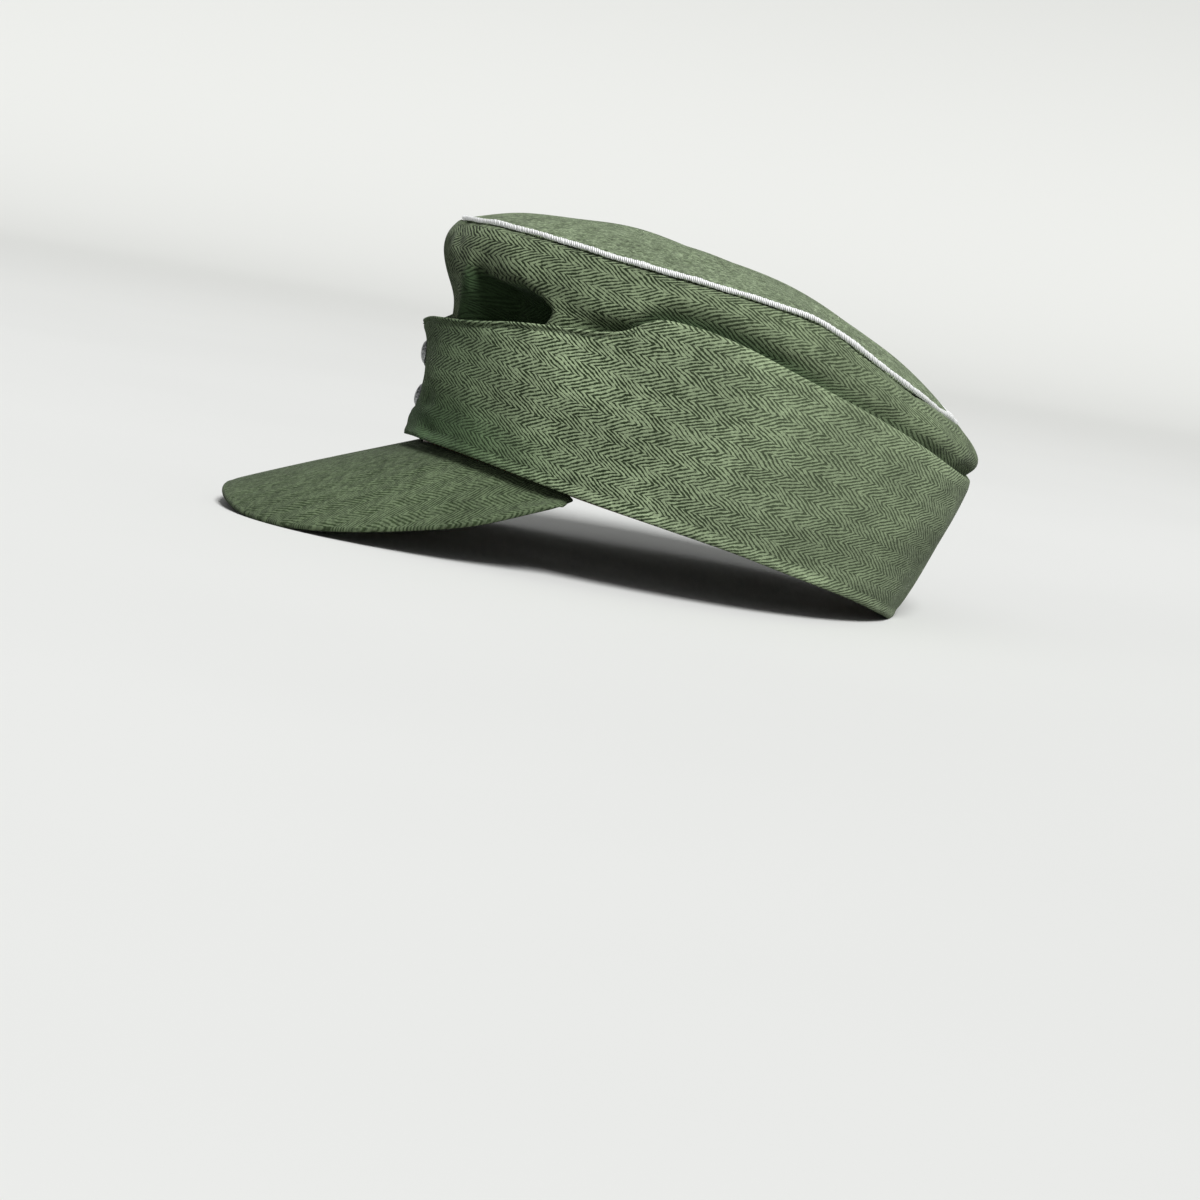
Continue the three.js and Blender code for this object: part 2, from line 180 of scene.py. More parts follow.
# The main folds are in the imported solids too.
MAIN_FOLDS = (
    SOFT_HOLLOW,
    Fold(22, 70, 6, 17, -2.5),
    Fold(11, 66, 5, 9, 3.0),
    Fold(0, 20, 12, 10, 1.8),
    Fold(94, 95, 7, 5, 1.6, both_sides=False),
    Fold(113, 90, 6, 5, 1.6, both_sides=False),
)

FINE_FOLDS = (
    Fold(25.5, 66, 2.0, 17, -2.4, lean=0.3),
    Fold(19.5, 68, 3.0, 15, 1.6, lean=0.2),
    Fold(22, 86, 2.6, 6, 1.3, lean=-0.5),
    Fold(15, 84, 2.2, 5, 1.0, lean=0.4),
    Fold(68, 73, 9, 4, 1.6),
    Fold(60, 84, 10, 5, -1.0, slant=-0.5),
    Fold(101, 89, 4.5, 3.5, 2.0, slant=0.5),
    Fold(104, 95, 5, 4, -0.8, slant=0.8),
    Fold(33, 89, 8, 4, -1.0),
    Fold(130, 86, 9, 5, 1.0, slant=0.6),
)

FLAP_FOLDS = (
    Fold(0, 28.5, 7, 3.6, 1.8),
    Fold(0, 22.5, 6, 3.2, -0.9),
    Fold(21, 21.5, 4.5, 4.2, 2.4, slant=0.2),
    Fold(16.5, 15.5, 5.5, 3.0, -1.3, slant=-0.2),
    Fold(25, 9.5, 7, 3.2, 1.7, slant=-0.2),
    Fold(15, 38, 6, 5, 1.0, slant=0.4),
    Fold(24, 27, 7, 6, -0.8, slant=0.3),
    Fold(44, 24, 10, 9, 0.7, slant=0.4),
    Fold(70, 46, 12, 12, -0.7, slant=0.3),
    Fold(96, 30, 14, 9, 0.8, slant=0.8),
    Fold(118, 34, 12, 8, -0.8, slant=0.9),
    Fold(134, 22, 10, 7, 0.9, slant=0.7),
    Fold(150, 52, 12, 6, 0.6, slant=0.3),
)


def folded(angle: Array) -> Array:
    """Gives the angle from the front, 0 to 180, the same on both sides of the cap."""
    return np.abs(wrapped(angle))


def wrapped(angle: Array) -> Array:
    """Gives the angle from the front between -180 and 180."""
    return np.mod(np.asarray(angle, float) + 180.0, 360.0) - 180.0


def smooth_step(value: Array, low: float, high: float) -> Array:
    """Rises smoothly from 0 at low to 1 at high."""
    share = np.clip((value - low) / (high - low), 0.0, 1.0)
    return share * share * (3.0 - 2.0 * share)


def bell(value: Array, width: float) -> Array:
    """A smooth hump of height 1 at 0."""
    return np.exp(-np.square(value / width))


def off_rear(angle: Array) -> Array:
    """Falls from 1 to 0 towards the rear of the cap."""
    return 1.0 - smooth_step(folded(angle), *REAR_FADE)


def unit(vectors: Array) -> Array:
    """Scales each vector to length 1."""
    return vectors / np.maximum(np.linalg.norm(vectors, axis=-1, keepdims=True), 1e-9)


@dataclass(frozen=True)
class Hollow:
    """The dent in a front corner of the crown, a wedge whose tip points to the rear.

    Two straight edges run forward from the tip: the upper one rises by upper_slope mm for each mm
    round the cap, and the lower one falls by lower_slope.
    """

    depth: float = 20.0
    tip_angle: float = 55.4
    tip_height: float = 71.9
    upper_slope: float = 0.56
    upper_soft: float = 4.4
    lower_slope: float = 0.62
    lower_soft: float = 2.6
    top: float = 74.5
    top_soft: float = 4.5
    front_angle: float = 25.5
    front_lean: float = 0.3
    front_soft: float = 5.0
    ridge_height: float = 66.0
    round_mm: float = 1.5
    outside: float = -1.0
    foot: float = 36.0
    foot_soft: float = 10.0

    def at(self, angle: Array, height: Array) -> Array:
        """Gives the hollow's depth at an angle from the front and a height."""
        return self.depth * self.within(angle, height, self.front_angle, self.front_soft)

    def shade(self, angle: Array, height: Array) -> Array:
        """Gives the painted shade in the hollow, from 0 to 1. The shade starts sharply at its front ridge."""
        shade_start, shade_soft, strength = self.front_angle - 2.2, 2.6, 2.0
        return np.minimum(1.0, strength * self.within(angle, height, shade_start, shade_soft))

    def within(self, angle: Array, height: Array, front_angle: float, front_soft: float) -> Array:
        """Gives how far inside the hollow a place is.

        Args:
            angle: degrees from the front.
            height: height in the level frame.
            front_angle: where the hollow starts at the front, at the height of its ridge.
            front_soft: over how many degrees it starts.

        Returns:
            A share from 0 at the edges to 1.
        """
        ahead = self.round_mm * (self.tip_angle - angle)
        above = height - self.tip_height
        from_upper = (self.upper_slope * ahead - above) / math.hypot(1.0, self.upper_slope)
        from_lower = (self.lower_slope * ahead + above) / math.hypot(1.0, self.lower_slope)
        upper = smooth_step(from_upper, self.outside, self.upper_soft)
        lower = smooth_step(from_lower, self.outside, self.lower_soft)
        front_line = front_angle + self.front_lean * (height - self.ridge_height)
        front = smooth_step(angle, front_line, front_line + front_soft)
        low = smooth_step(height, self.foot, self.foot + self.foot_soft)
        high = 1.0 - smooth_step(height, self.top, self.top + self.top_soft)
        return upper * lower * front * low * high


class Curve:
    """A smooth curve through rows of keys and values."""

    def __init__(self, keys: Sequence[float], values: Sequence[float], level_ends: bool = False) -> None:
        """Keeps the rows and works out the slope at each.

        Args:
            keys: the rising keys.
            values: the value at each key.
            level_ends: whether the curve is level at both ends.
        """
        self.keys = np.array(keys, float)
        self.values = np.array(values, float)
        count = len(self.keys)
        before = np.maximum(np.arange(count) - 1, 0)
        after = np.minimum(np.arange(count) + 1, count - 1)
        self.slopes = (self.values[after] - self.values[before]) / (self.keys[after] - self.keys[before])
        if level_ends:
            self.slopes[[0, -1]] = 0.0

    def __call__(self, at: Array) -> Array:
        """Gives the curve's values at an array of keys.

        Args:
            at: the keys.

        Returns:
            The value at each key.
        """
        at = np.asarray(at, float)
        row = np.clip(np.searchsorted(self.keys, at, side="right") - 1, 0, len(self.keys) - 2)
        span = self.keys[row + 1] - self.keys[row]
        t = np.clip((at - self.keys[row]) / span, 0.0, 1.0)
        rise = self.values[row + 1] - self.values[row]
        start = self.slopes[row] * span
        end = self.slopes[row + 1] * span
        bend = 3.0 * rise - 2.0 * start - end
        return self.values[row] + start * t + bend * t**2 + (start + end - 2.0 * rise) * t**3


def edge_curve(table: EdgeTable, level_ends: bool = True) -> Curve:
    """Makes the height curve of an edge table."""
    angles, heights = zip(*table)
    return Curve(angles, heights, level_ends)


class Plan:
    """The plan outline of a ring of cloth at each level."""

    def __init__(self, rows: Sequence[PlanRow]) -> None:
        """Makes one curve for each column of the table."""
        keys = [row.at for row in rows]
        self.front = Curve(keys, [row.front for row in rows])
        self.rear = Curve(keys, [row.rear for row in rows])
        self.half = Curve(keys, [row.half for row in rows])

    def points(self, angle: Array, level: Array, height: Array) -> Array:
        """Gives points of the outline.

        Args:
            angle: degrees from the front.
            level: the table's key at each point.
            height: the height of each point.

        Returns:
            An array of points in the level frame.
        """
        ahead = np.cos(np.radians(angle))
        across = np.sin(np.radians(angle))
        reach = np.where(ahead > 0, WIDEST_Y - self.front(level), self.rear(level) - WIDEST_Y)
        power = 2.0 / OVAL_POWER
        x = self.half(level) * np.sign(across) * np.abs(across) ** power
        y = WIDEST_Y - np.sign(ahead) * reach * np.abs(ahead) ** power
        return np.stack([x, y, height + 0.0 * x], axis=-1)


class Ripple:
    """Smooth irregular waves that are the same on every run."""

    waves = 9

    def __init__(self, seed: int, length: float) -> None:
        """Draws the waves' directions and phases.

        Args:
            seed: fixes the drawing.
            length: the mean wave length, in the unit of the places that are asked for.
        """
        draw = np.random.default_rng(seed)
        heading = draw.uniform(0.0, math.tau, self.waves)
        size = (math.tau / length) * draw.uniform(0.6, 1.5, self.waves)
        self.along = size * np.cos(heading)
        self.up = size * np.sin(heading)
        self.phase = draw.uniform(0.0, math.tau, self.waves)

    def __call__(self, along: Array, up: Array) -> Array:
        """Gives the wave height, about -1 to 1, at places along and up the cloth.

        Args:
            along: places along the cloth.
            up: places up the cloth.

        Returns:
            The height at each place.
        """
        total = np.zeros(np.broadcast(along, up).shape)
        for along_rate, up_rate, phase in zip(self.along, self.up, self.phase):
            total += np.sin(along_rate * along + up_rate * up + phase)
        return total / math.sqrt(len(self.phase))


def fold_depth(folds: Sequence[Fold], angle: Array, height: Array) -> Array:
    """Adds up how far the folds push the cloth in.

    Args:
        folds: the fold table.
        angle: degrees from the front.
        height: height in the level frame.

    Returns:
        The depth at each place, in mm.
    """
    signed = wrapped(angle)
    depth = np.zeros(np.broadcast(signed, height).shape)
    for fold in folds:
        side = np.abs(signed) if fold.both_sides else signed
        along = side - fold.angle - fold.lean * (height - fold.height)
        up = height - fold.height - fold.slant * along
        depth += fold.depth * bell(along, fold.width) * bell(up, fold.tall)
    return depth


class CapForm:
    """The cap's surfaces in the level frame, in mm."""

    hollow = Hollow()

    def __init__(self) -> None:
        """Makes the curves of every table."""
        self.crown_plan = Plan(CROWN_PLAN)
        self.flap_plan = Plan(FLAP_PLAN)
        self.rim = edge_curve(RIM_EDGE)
        self.flap_top = edge_curve(FLAP_TOP_EDGE)
        self.seam = edge_curve(SEAM_EDGE)
        self.peak_edge = edge_curve(PEAK_UNDER_EDGE, level_ends=False)

    def crown_height(self, angle: Array, share: Array) -> Array:
        """Gives the height of the crown wall at a share of the way up from rim to seam."""
        place = folded(angle)
        return self.rim(place) + (self.seam(place) - self.rim(place)) * share

    def crown(self, angle: Array, share: Array, folds: Sequence[Fold] = MAIN_FOLDS) -> Array:
        """Gives the outer face of the crown wall.

        Args:
            angle: degrees from the front.
            share: how far up it is, from 0 at the rim to 1 at the seam.
            folds: the folds that it has.

        Returns:
            An array of points in the level frame.
        """
        height = self.crown_height(angle, share)
        points = self.crown_plan.points(angle, share, height)
        return points + inward(points) * fold_depth(folds, angle, height)[..., None]

    def flap_height(self, turn: Array, share: Array) -> Array:
        """Gives the height of the flap at a share of the way up its width."""
        place = folded(turn)
        return self.rim(place) + (self.flap_top(place) - self.rim(place)) * share

    def flap(self, turn: Array, share: Array) -> Array:
        """Gives the outer face of the flap, from its tucked right end round to its left end.

        Args:
            turn: degrees from the front, growing towards the wearer's left.
            share: how far up it is, from 0 at the rim to 1.

        Returns:
            An array of points in the level frame.
        """
        height = self.flap_height(turn, share)
        points = self.flap_plan.points(turn, height, height)
        tuck = (FLAP_THICKNESS + PIECE_GAP) * (1.0 - smooth_step(-np.asarray(turn, float), 9.0, 24.0))
        return points + inward(points) * (tuck + 0.0 * height)[..., None]

    def top(self, angle: Array, share: Array) -> Array:
        """Gives the outer face of the top panel, by the share of the way in from its edge.

        Args:
            angle: degrees from the front.
            share: 0 at the seam and 1 at the middle.

        Returns:
            An array of points in the level frame.
        """
        edge_inset, edge_lift = 1.7, 0.8
        centre_y, centre_z, dome_power = -12.0, 114.0, 2.6
        angle, share = np.broadcast_arrays(np.asarray(angle, float), np.asarray(share, float))
        seam = self.crown(angle, np.ones_like(angle))
        centre = np.zeros_like(seam)
        centre[..., 1] = centre_y
        centre[..., 2] = seam[..., 2]
        spoke = seam - centre
        length = np.linalg.norm(spoke, axis=-1) - edge_inset
        points = centre + unit(spoke) * (length * (1.0 - share))[..., None]
        edge = seam[..., 2] + edge_lift
        points[..., 2] = edge + (centre_z - edge) * (1.0 - (1.0 - share) ** dome_power)
        return points

    def peak(self, across: Array, share: Array) -> Array:
        """Gives the upper face of the peak, across from -1 to 1 and from the rim out to its edge.

        Args:
            across: -1 at the right corner and 1 at the left one.
            share: 0 at the rim and 1 at the edge.

        Returns:
            An array of points in the level frame.
        """
        seam_angle, seam_inset = 71.0, 2.1
        half_width, corner_y, reach, peak_power, bow = 86.0, -31.0, 141.0, 2.2, 0.8
        angle = across * seam_angle
        seam = self.offset(self.crown, angle, np.zeros_like(angle), -seam_inset)
        seam[..., 2] = self.rim(folded(angle)) - PIECE_GAP
        cut_angle = np.abs(across) * 90.0
        power = 2.0 / peak_power
        x = half_width * np.sign(across) * np.sin(np.radians(cut_angle)) ** power
        y = corner_y - reach * np.maximum(np.cos(np.radians(cut_angle)), 0.0) ** power
        cut = np.stack([x, y, self.peak_edge(cut_angle) + PEAK_THICKNESS], axis=-1)
        points = seam + (cut - seam) * share[..., None]
        points[..., 2] += bow * 4.0 * share * (1.0 - share) * np.cos(np.radians(across * 90.0))
        return points

    def outward(self, face: Surface, along: Array, share: Array) -> Array:
        """Gives the unit normal of a face, pointing out of the cap.

        Args:
            face: the function that gives the face's points.
            along: places along the face.
            share: places up the face.

        Returns:
            The normal at each place.
        """
        ahead = face(along + 0.2, share) - face(along - 0.2, share)
        above = face(along, np.minimum(share + 0.004, 1.0)) - face(along, np.maximum(share - 0.004, 0.0))
        return unit(np.cross(ahead, above))

    def offset(self, face: Surface, along: Array, share: Array, out: Array) -> Array:
        """Gives points of a face moved out along its normal by a distance in mm.

        Args:
            face: the function that gives the face's points.
            along: places along the face.
            share: places up the face.
            out: the distance at each place.

        Returns:
            An array of points in the level frame.
        """
        move = np.asarray(out, float) + 0.0 * np.asarray(along, float)
        return face(along, share) + self.outward(face, along, share) * move[..., None]


def inward(points: Array) -> Array:
    """Gives the level direction from each point towards the middle of the cap."""
    direction = np.stack([-points[..., 0], WIDEST_Y - points[..., 1], 0.0 * points[..., 0]], axis=-1)
    return unit(direction)


class RestPlace:
    """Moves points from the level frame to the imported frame, and presses cloth flat on the table."""

    def __init__(self, form: CapForm) -> None:
        """Works out the lean from the cap's feet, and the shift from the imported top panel."""
        self.lean = math.atan2(REAR_FOOT[1] - PEAK_FOOT[1], REAR_FOOT[0] - PEAK_FOOT[0])
        self.shift = np.zeros(3)
        angle, share = np.meshgrid(np.linspace(0.0, 360.0, 361), np.linspace(0.0, 1.0, 41), indexing="ij")
        panel = self.turned(form.top(angle, share)).reshape(-1, 3)
        low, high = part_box("crown_top")
        middle = (np.array(low) + np.array(high)) / (2.0 * MM)
        self.shift[1] = middle[1] - (panel[:, 1].min() + panel[:, 1].max()) / 2.0
        self.shift[2] = high.z / MM - panel[:, 2].max()

    def turned(self, points: Array) -> Array:
        """Leans points back about the X axis."""
        cosine, sine = math.cos(self.lean), math.sin(self.lean)
        y = points[..., 1] * cosine + points[..., 2] * sine
        z = points[..., 2] * cosine - points[..., 1] * sine
        return np.stack([points[..., 0], y, z], axis=-1)

    def metres(self, points: Array, pressed: bool = True) -> Array:
        """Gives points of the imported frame, in metres.

        Args:
            points: points of the level frame, in mm.
            pressed: whether points under the table top are brought up to it.

        Returns:
            The moved points.
        """
        placed = self.turned(points) + self.shift
        if pressed:
            placed[..., 2] = np.maximum(placed[..., 2], 0.0)
        return placed * MM


def clear_selection() -> None:
    """Deselects every object, because an operator acts on all that is selected."""
    bpy.ops.object.select_all(action="DESELECT")


def take(piece: Piece) -> None:
    """Makes one piece the only selected and the active one."""
    clear_selection()
    piece.select_set(True)
    bpy.context.view_layer.objects.active = piece


def apply_modifiers(piece: Piece) -> None:
    """Applies every modifier of a piece, in order."""
    take(piece)
    for modifier in list(piece.modifiers):
        bpy.ops.object.modifier_apply(modifier=modifier.name)


def new_sheet(name: str, columns: int, rows: int) -> Piece:
    """Adds a flat square grid, from which a piece of cloth or leather is shaped.

    Args:
        name: the piece's name.
        columns: squares along it.
        rows: squares up it.

    Returns:
        The new grid.
    """
    clear_selection()
    bpy.ops.mesh.primitive_grid_add(x_subdivisions=columns, y_subdivisions=rows, size=1.0, calc_uvs=True)
    sheet = bpy.context.object
    sheet.name = name
    sheet.data.name = name
    return sheet


def sheet_places(sheet: Piece) -> tuple[Array, Array]:
    """Gives how far along and how far up a new sheet each vertex is, from 0 to 1."""
    place = vertex_places(sheet)[:, :2] + 0.5
    return place[:, 0], place[:, 1]


def vertex_places(piece: Piece) -> Array:
    """Gives the coordinates of a piece's vertices."""
    places = np.empty(len(piece.data.vertices) * 3)
    piece.data.vertices.foreach_get("co", places)
    return places.reshape(-1, 3)


def move_vertices(piece: Piece, places: Array) -> None:
    """Moves a piece's vertices to new coordinates."""
    piece.data.vertices.foreach_set("co", np.ascontiguousarray(places, float).ravel())
    piece.data.update()


def set_weave_map(piece: Piece, weave: Array) -> None:
    """Writes the cloth coordinates of each vertex, in metres, to the piece's UV map.

    Args:
        piece: the piece.
        weave: one row of two coordinates for each vertex.
    """
    layer = piece.data.uv_layers[0] if piece.data.uv_layers else piece.data.uv_layers.new(name="weave")
    corners = np.empty(len(piece.data.loops), int)
    piece.data.loops.foreach_get("vertex_index", corners)
    layer.data.foreach_set("uv", np.ascontiguousarray(weave[corners], float).ravel())


def set_painted_shade(piece: Piece, painted_shade: Array) -> None:
    """Writes the painted shade at each vertex, from 0 to 1, which darkens the cloth in folds and shaded
    places.
    """
    layer = piece.data.attributes.new(SHADE_ATTRIBUTE, "FLOAT", "POINT")
    layer.data.foreach_set("value", np.ascontiguousarray(painted_shade, float))


def edit_whole(piece: Piece, change: Callable[..., object], **settings: object) -> None:
    """Runs a mesh operator on the whole of a piece.

    Args:
        piece: the piece.
        change: the operator.
        settings: the operator's own settings.
    """
    take(piece)
    bpy.ops.object.mode_set(mode="EDIT")
    bpy.ops.mesh.select_all(action="SELECT")
    change(**settings)
    bpy.ops.object.mode_set(mode="OBJECT")


def merge_doubles(piece: Piece) -> None:
    """Joins vertices that lie on each other, where a sheet meets itself."""
    edit_whole(piece, bpy.ops.mesh.remove_doubles, threshold=MERGE_DISTANCE)


def face_along(piece: Piece, wanted: Callable[[Vector], Vector]) -> None:
    """Turns a sheet over if most of its faces point against the wanted direction.

    Args:
        piece: the sheet.
        wanted: gives the wanted direction at a face's centre.
    """
    score = sum(polygon.normal.dot(wanted(polygon.center)) * polygon.area for polygon in piece.data.polygons)
    if score < 0:
        piece.data.flip_normals()


def turn_faces_out(piece: Piece) -> None:
    """Turns the faces of a closed piece outwards."""
    edit_whole(piece, bpy.ops.mesh.normals_make_consistent, inside=False)


def smooth_once(piece: Piece) -> None:
    """Subdivides a piece once, which rounds its edges softly, and applies every modifier."""
    smooth = piece.modifiers.new("smooth", "SUBSURF")
    smooth.levels = 1
    smooth.render_levels = 1
    apply_modifiers(piece)


def thicken(piece: Piece, thickness: float) -> None:
    """Gives a sheet its thickness in mm behind its outer face, with softly rounded edges.

    Args:
        piece: the sheet.
        thickness: its thickness.
    """
    wall = piece.modifiers.new("wall", "SOLIDIFY")
    wall.thickness = thickness * MM
    wall.offset = -1.0
    wall.use_rim = True
    wall.material_offset = 1
    wall.material_offset_rim = 0
    smooth_once(piece)


def finish_piece(piece: Piece, materials: Sequence[Material], nodes: Sequence[str]) -> None:
    """Dresses a finished piece, ties it to the frame and reports it.

    Args:
        piece: the finished mesh.
        materials: its materials, outer face first.
        nodes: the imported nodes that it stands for.
    """
    piece.data.materials.clear()
    for material in materials:
        piece.data.materials.append(material)
    for polygon in piece.data.polygons:
        polygon.use_smooth = True
    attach(piece, BODY)
    if nodes:
        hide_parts(*nodes)
    stood_for = ", ".join(nodes) or "nothing"
    LOG.info("%s: %d faces, stands for %s", piece.name, len(piece.data.polygons), stood_for)


class NodeTree:
    """A short way to place and join shader nodes."""

    def __init__(self, tree: bpy.types.NodeTree) -> None:
        """Keeps the tree and starts its columns."""
        self.tree = tree
        self.count = 0

    def add(self, kind: str, **settings: object) -> bpy.types.Node:
        """Adds a node and sets its own settings.

        Args:
            kind: the node's type.
            settings: the names and values of its settings.

        Returns:
            The new node.
        """
        node = self.tree.nodes.new(kind)
        node.location = (180.0 * (self.count % 12), -220.0 * (self.count // 12))
        self.count += 1
        for name, value in settings.items():
            setattr(node, name, value)
        return node

    def join(self, source: object, target: Socket) -> None:
        """Links a socket to a target, or sets the target's value to a number or colour."""
        if isinstance(source, Socket):
            self.tree.links.new(source, target)
        else:
            target.default_value = source

    def maths(self, operation: str, *values: object) -> Socket:
        """Adds a Math node with its inputs, and gives its result.

        Args:
            operation: what it works out.
            values: its inputs, each a socket or a number.

        Returns:
            Its output.
        """
        node = self.add("ShaderNodeMath", operation=operation)
        for index, value in enumerate(values):
            self.join(value, node.inputs[index])
        return node.outputs[0]

    def noise(self, vector: object, scale: float, detail: float = 2.0, roughness: float = 0.5) -> Socket:
        """Adds a noise texture and gives its value.

        Args:
            vector: the socket of the places.
            scale: how fine it is.
            detail: its octaves.
            roughness: how strong the finer octaves are.

        Returns:
            Its output.
        """
        node = self.add("ShaderNodeTexNoise")
        self.join(vector, node.inputs["Vector"])
        for label, value in (("Scale", scale), ("Detail", detail), ("Roughness", roughness)):
            node.inputs[label].default_value = value
        return node.outputs["Fac"]

    def split(self, vector: object) -> Sequence[Socket]:
        """Gives the three parts of a vector."""
        node = self.add("ShaderNodeSeparateXYZ")
        self.join(vector, node.inputs[0])
        return node.outputs

    def spread(
        self, value: object, low: float, high: float, to_low: float = 0.0, to_high: float = 1.0
    ) -> Socket:
        """Maps a value smoothly from one range to another, and stops it at the ends.

        Args:
            value: the socket of the value.
            low: where the first range starts.
            high: where it ends.
            to_low: where the second range starts.
            to_high: where it ends.

        Returns:
            The mapped value.
        """
        node = self.add("ShaderNodeMapRange", interpolation_type="SMOOTHSTEP")
        self.join(value, node.inputs["Value"])
        for name, number in (("From Min", low), ("From Max", high), ("To Min", to_low), ("To Max", to_high)):
            node.inputs[name].default_value = number
        return node.outputs["Result"]

    def mix(self, factor: object, first: object, second: object, blend: str = "MIX") -> Socket:
        """Mixes two colours.

        Args:
            factor: the share of the second colour.
            first: a colour or its socket.
            second: a colour or its socket.
            blend: how they are mixed.

        Returns:
            The mixed colour.
        """
        node = self.add("ShaderNodeMix", data_type="RGBA", blend_type=blend)
        self.join(factor, node.inputs[0])
        self.join(first, node.inputs[6])
        self.join(second, node.inputs[7])
        return node.outputs[2]

    def bump(self, height: object, distance: float, strength: float, normal: object = None) -> object:
        """Adds a bump of a given depth in metres, and gives its normal.

        Args:
            height: the socket of the height, 0 to 1.
            distance: the depth.
            strength: how much of it shows.
            normal: a bump under this one.

        Returns:
            The new normal.
        """
        node = self.add("ShaderNodeBump")
        node.inputs["Distance"].default_value = distance
        node.inputs["Strength"].default_value = strength
        self.join(height, node.inputs["Height"])
        if normal is not None:
            self.join(normal, node.inputs["Normal"])
        return node.outputs["Normal"]


def rgb(red: int, green: int, blue: int) -> Colour:
    """Turns screen colour numbers, 0 to 255, into the linear colour that a shader takes.

    Args:
        red: the red number.
        green: the green number.
        blue: the blue number.

    Returns:
        The colour with an alpha of 1.
    """
    shares = [channel / 255.0 for channel in (red, green, blue)]
    linear = [((share + 0.055) / 1.055) ** 2.4 if share > 0.04045 else share / 12.92 for share in shares]
    return (linear[0], linear[1], linear[2], 1.0)


def new_group(name: str, inputs: Sequence[tuple[str, str, float]], outputs: Sequence[str]) -> NodeTree:
    """Starts a shader node group with named sockets.

    Args:
        name: the group's name.
        inputs: name, socket kind and first value of each input.
        outputs: names of the number outputs.

    Returns:
        The group's tree, with its input and output nodes placed.
    """
    tree = bpy.data.node_groups.new(name, "ShaderNodeTree")
    for label, kind, value in inputs:
        socket = tree.interface.new_socket(name=label, in_out="INPUT", socket_type=kind)
        if kind == "NodeSocketFloat":
            socket.default_value = value
    for label in outputs:
        tree.interface.new_socket(name=label, in_out="OUTPUT", socket_type="NodeSocketFloat")
    nodes = NodeTree(tree)
    nodes.add("NodeGroupInput").name = "given"
    nodes.add("NodeGroupOutput").name = "result"
    return nodes


def herringbone_group() -> bpy.types.NodeTree:
    """Builds the herringbone weave: ribs that slant one way and the other in stripes round the cap.

    Returns:
        A group that takes cloth coordinates in metres and gives Rib, 0 in a gap and 1 on a rib,
        Height for a bump, Shade, the slow change of tone over the cloth, and Fleck, its small specks.
    """
    floats = "NodeSocketFloat"
    nodes = new_group(
        "herringbone weave",
        (
            ("Vector", "NodeSocketVector", 0.0),
            ("Stripe", floats, 0.005),
            ("Pitch", floats, 0.00125),
            ("Slant", floats, 26.0),
            ("Wander", floats, 0.0006),
            ("Break", floats, 0.3),
        ),
        ("Rib", "Height", "Shade", "Fleck"),
    )
    given = nodes.tree.nodes["given"].outputs
    cloth_along, cloth_up, _ = nodes.split(given["Vector"])
    drift = nodes.maths("SUBTRACT", nodes.noise(given["Vector"], 55.0, 3.0), 0.5)
    drift_up = nodes.maths("SUBTRACT", nodes.noise(given["Vector"], 90.0, 2.0), 0.5)
    along = nodes.maths("MULTIPLY_ADD", drift, given["Wander"], cloth_along)
    up = nodes.maths("MULTIPLY_ADD", drift_up, given["Wander"], cloth_up)
    zigzag = nodes.maths("PINGPONG", up, given["Stripe"])
    stripe_number = nodes.maths("FLOOR", nodes.maths("DIVIDE", up, given["Stripe"]))
    odd_stripe = nodes.maths("MODULO", nodes.maths("ABSOLUTE", stripe_number), 2.0)
    step = nodes.maths("MULTIPLY", odd_stripe, given["Break"])
    slant = nodes.maths("RADIANS", given["Slant"])
    lengthwise = nodes.maths("MULTIPLY", along, nodes.maths("SINE", slant))
    crosswise = nodes.maths("MULTIPLY", zigzag, nodes.maths("COSINE", slant))
    phase = nodes.maths("DIVIDE", nodes.maths("SUBTRACT", lengthwise, crosswise), given["Pitch"])
    turns = nodes.maths("MULTIPLY", nodes.maths("ADD", phase, step), math.tau)
    wave = nodes.maths("MULTIPLY_ADD", nodes.maths("COSINE", turns), 0.5, 0.5)
    fleck = nodes.noise(given["Vector"], 650.0, 3.0, 0.7)
    worn = nodes.noise(given["Vector"], 170.0, 3.0, 0.65)
    uneven = nodes.maths("MULTIPLY_ADD", nodes.maths("SUBTRACT", fleck, 0.5), 2.3, wave)
    faded = nodes.maths("MULTIPLY_ADD", nodes.maths("SUBTRACT", worn, 0.5), 1.7, uneven)
    rib = nodes.spread(faded, 0.0, 0.75)
    yarn = nodes.noise(given["Vector"], 1900.0, 2.0, 0.7)
    height = nodes.maths("MULTIPLY_ADD", yarn, 0.35, nodes.maths("MULTIPLY", rib, 0.8))
    shade = nodes.spread(nodes.noise(given["Vector"], 26.0, 4.0, 0.6), 0.25, 0.75)
    specks = nodes.spread(nodes.noise(given["Vector"], 430.0, 4.0, 0.85), 0.3, 0.7)
    result = nodes.tree.nodes["result"].inputs
    for label, value in (("Rib", rib), ("Height", height), ("Shade", shade), ("Fleck", specks)):
        nodes.join(value, result[label])
    return nodes.tree


def start_material(name: str, values: dict[str, float]) -> tuple[Material, NodeTree, bpy.types.Node]:
    """Makes a node material.

    Args:
        name: the material's name.
        values: the values that are the same all over the surface, by the shader's own labels.

    Returns:
        The material, its tree and its Principled shader.
    """
    material = bpy.data.materials.new(name)
    material.use_nodes = True
    shader = material.node_tree.nodes["Principled BSDF"]
    for label, value in values.items():
        shader.inputs[label].default_value = value
    return material, NodeTree(material.node_tree), shader


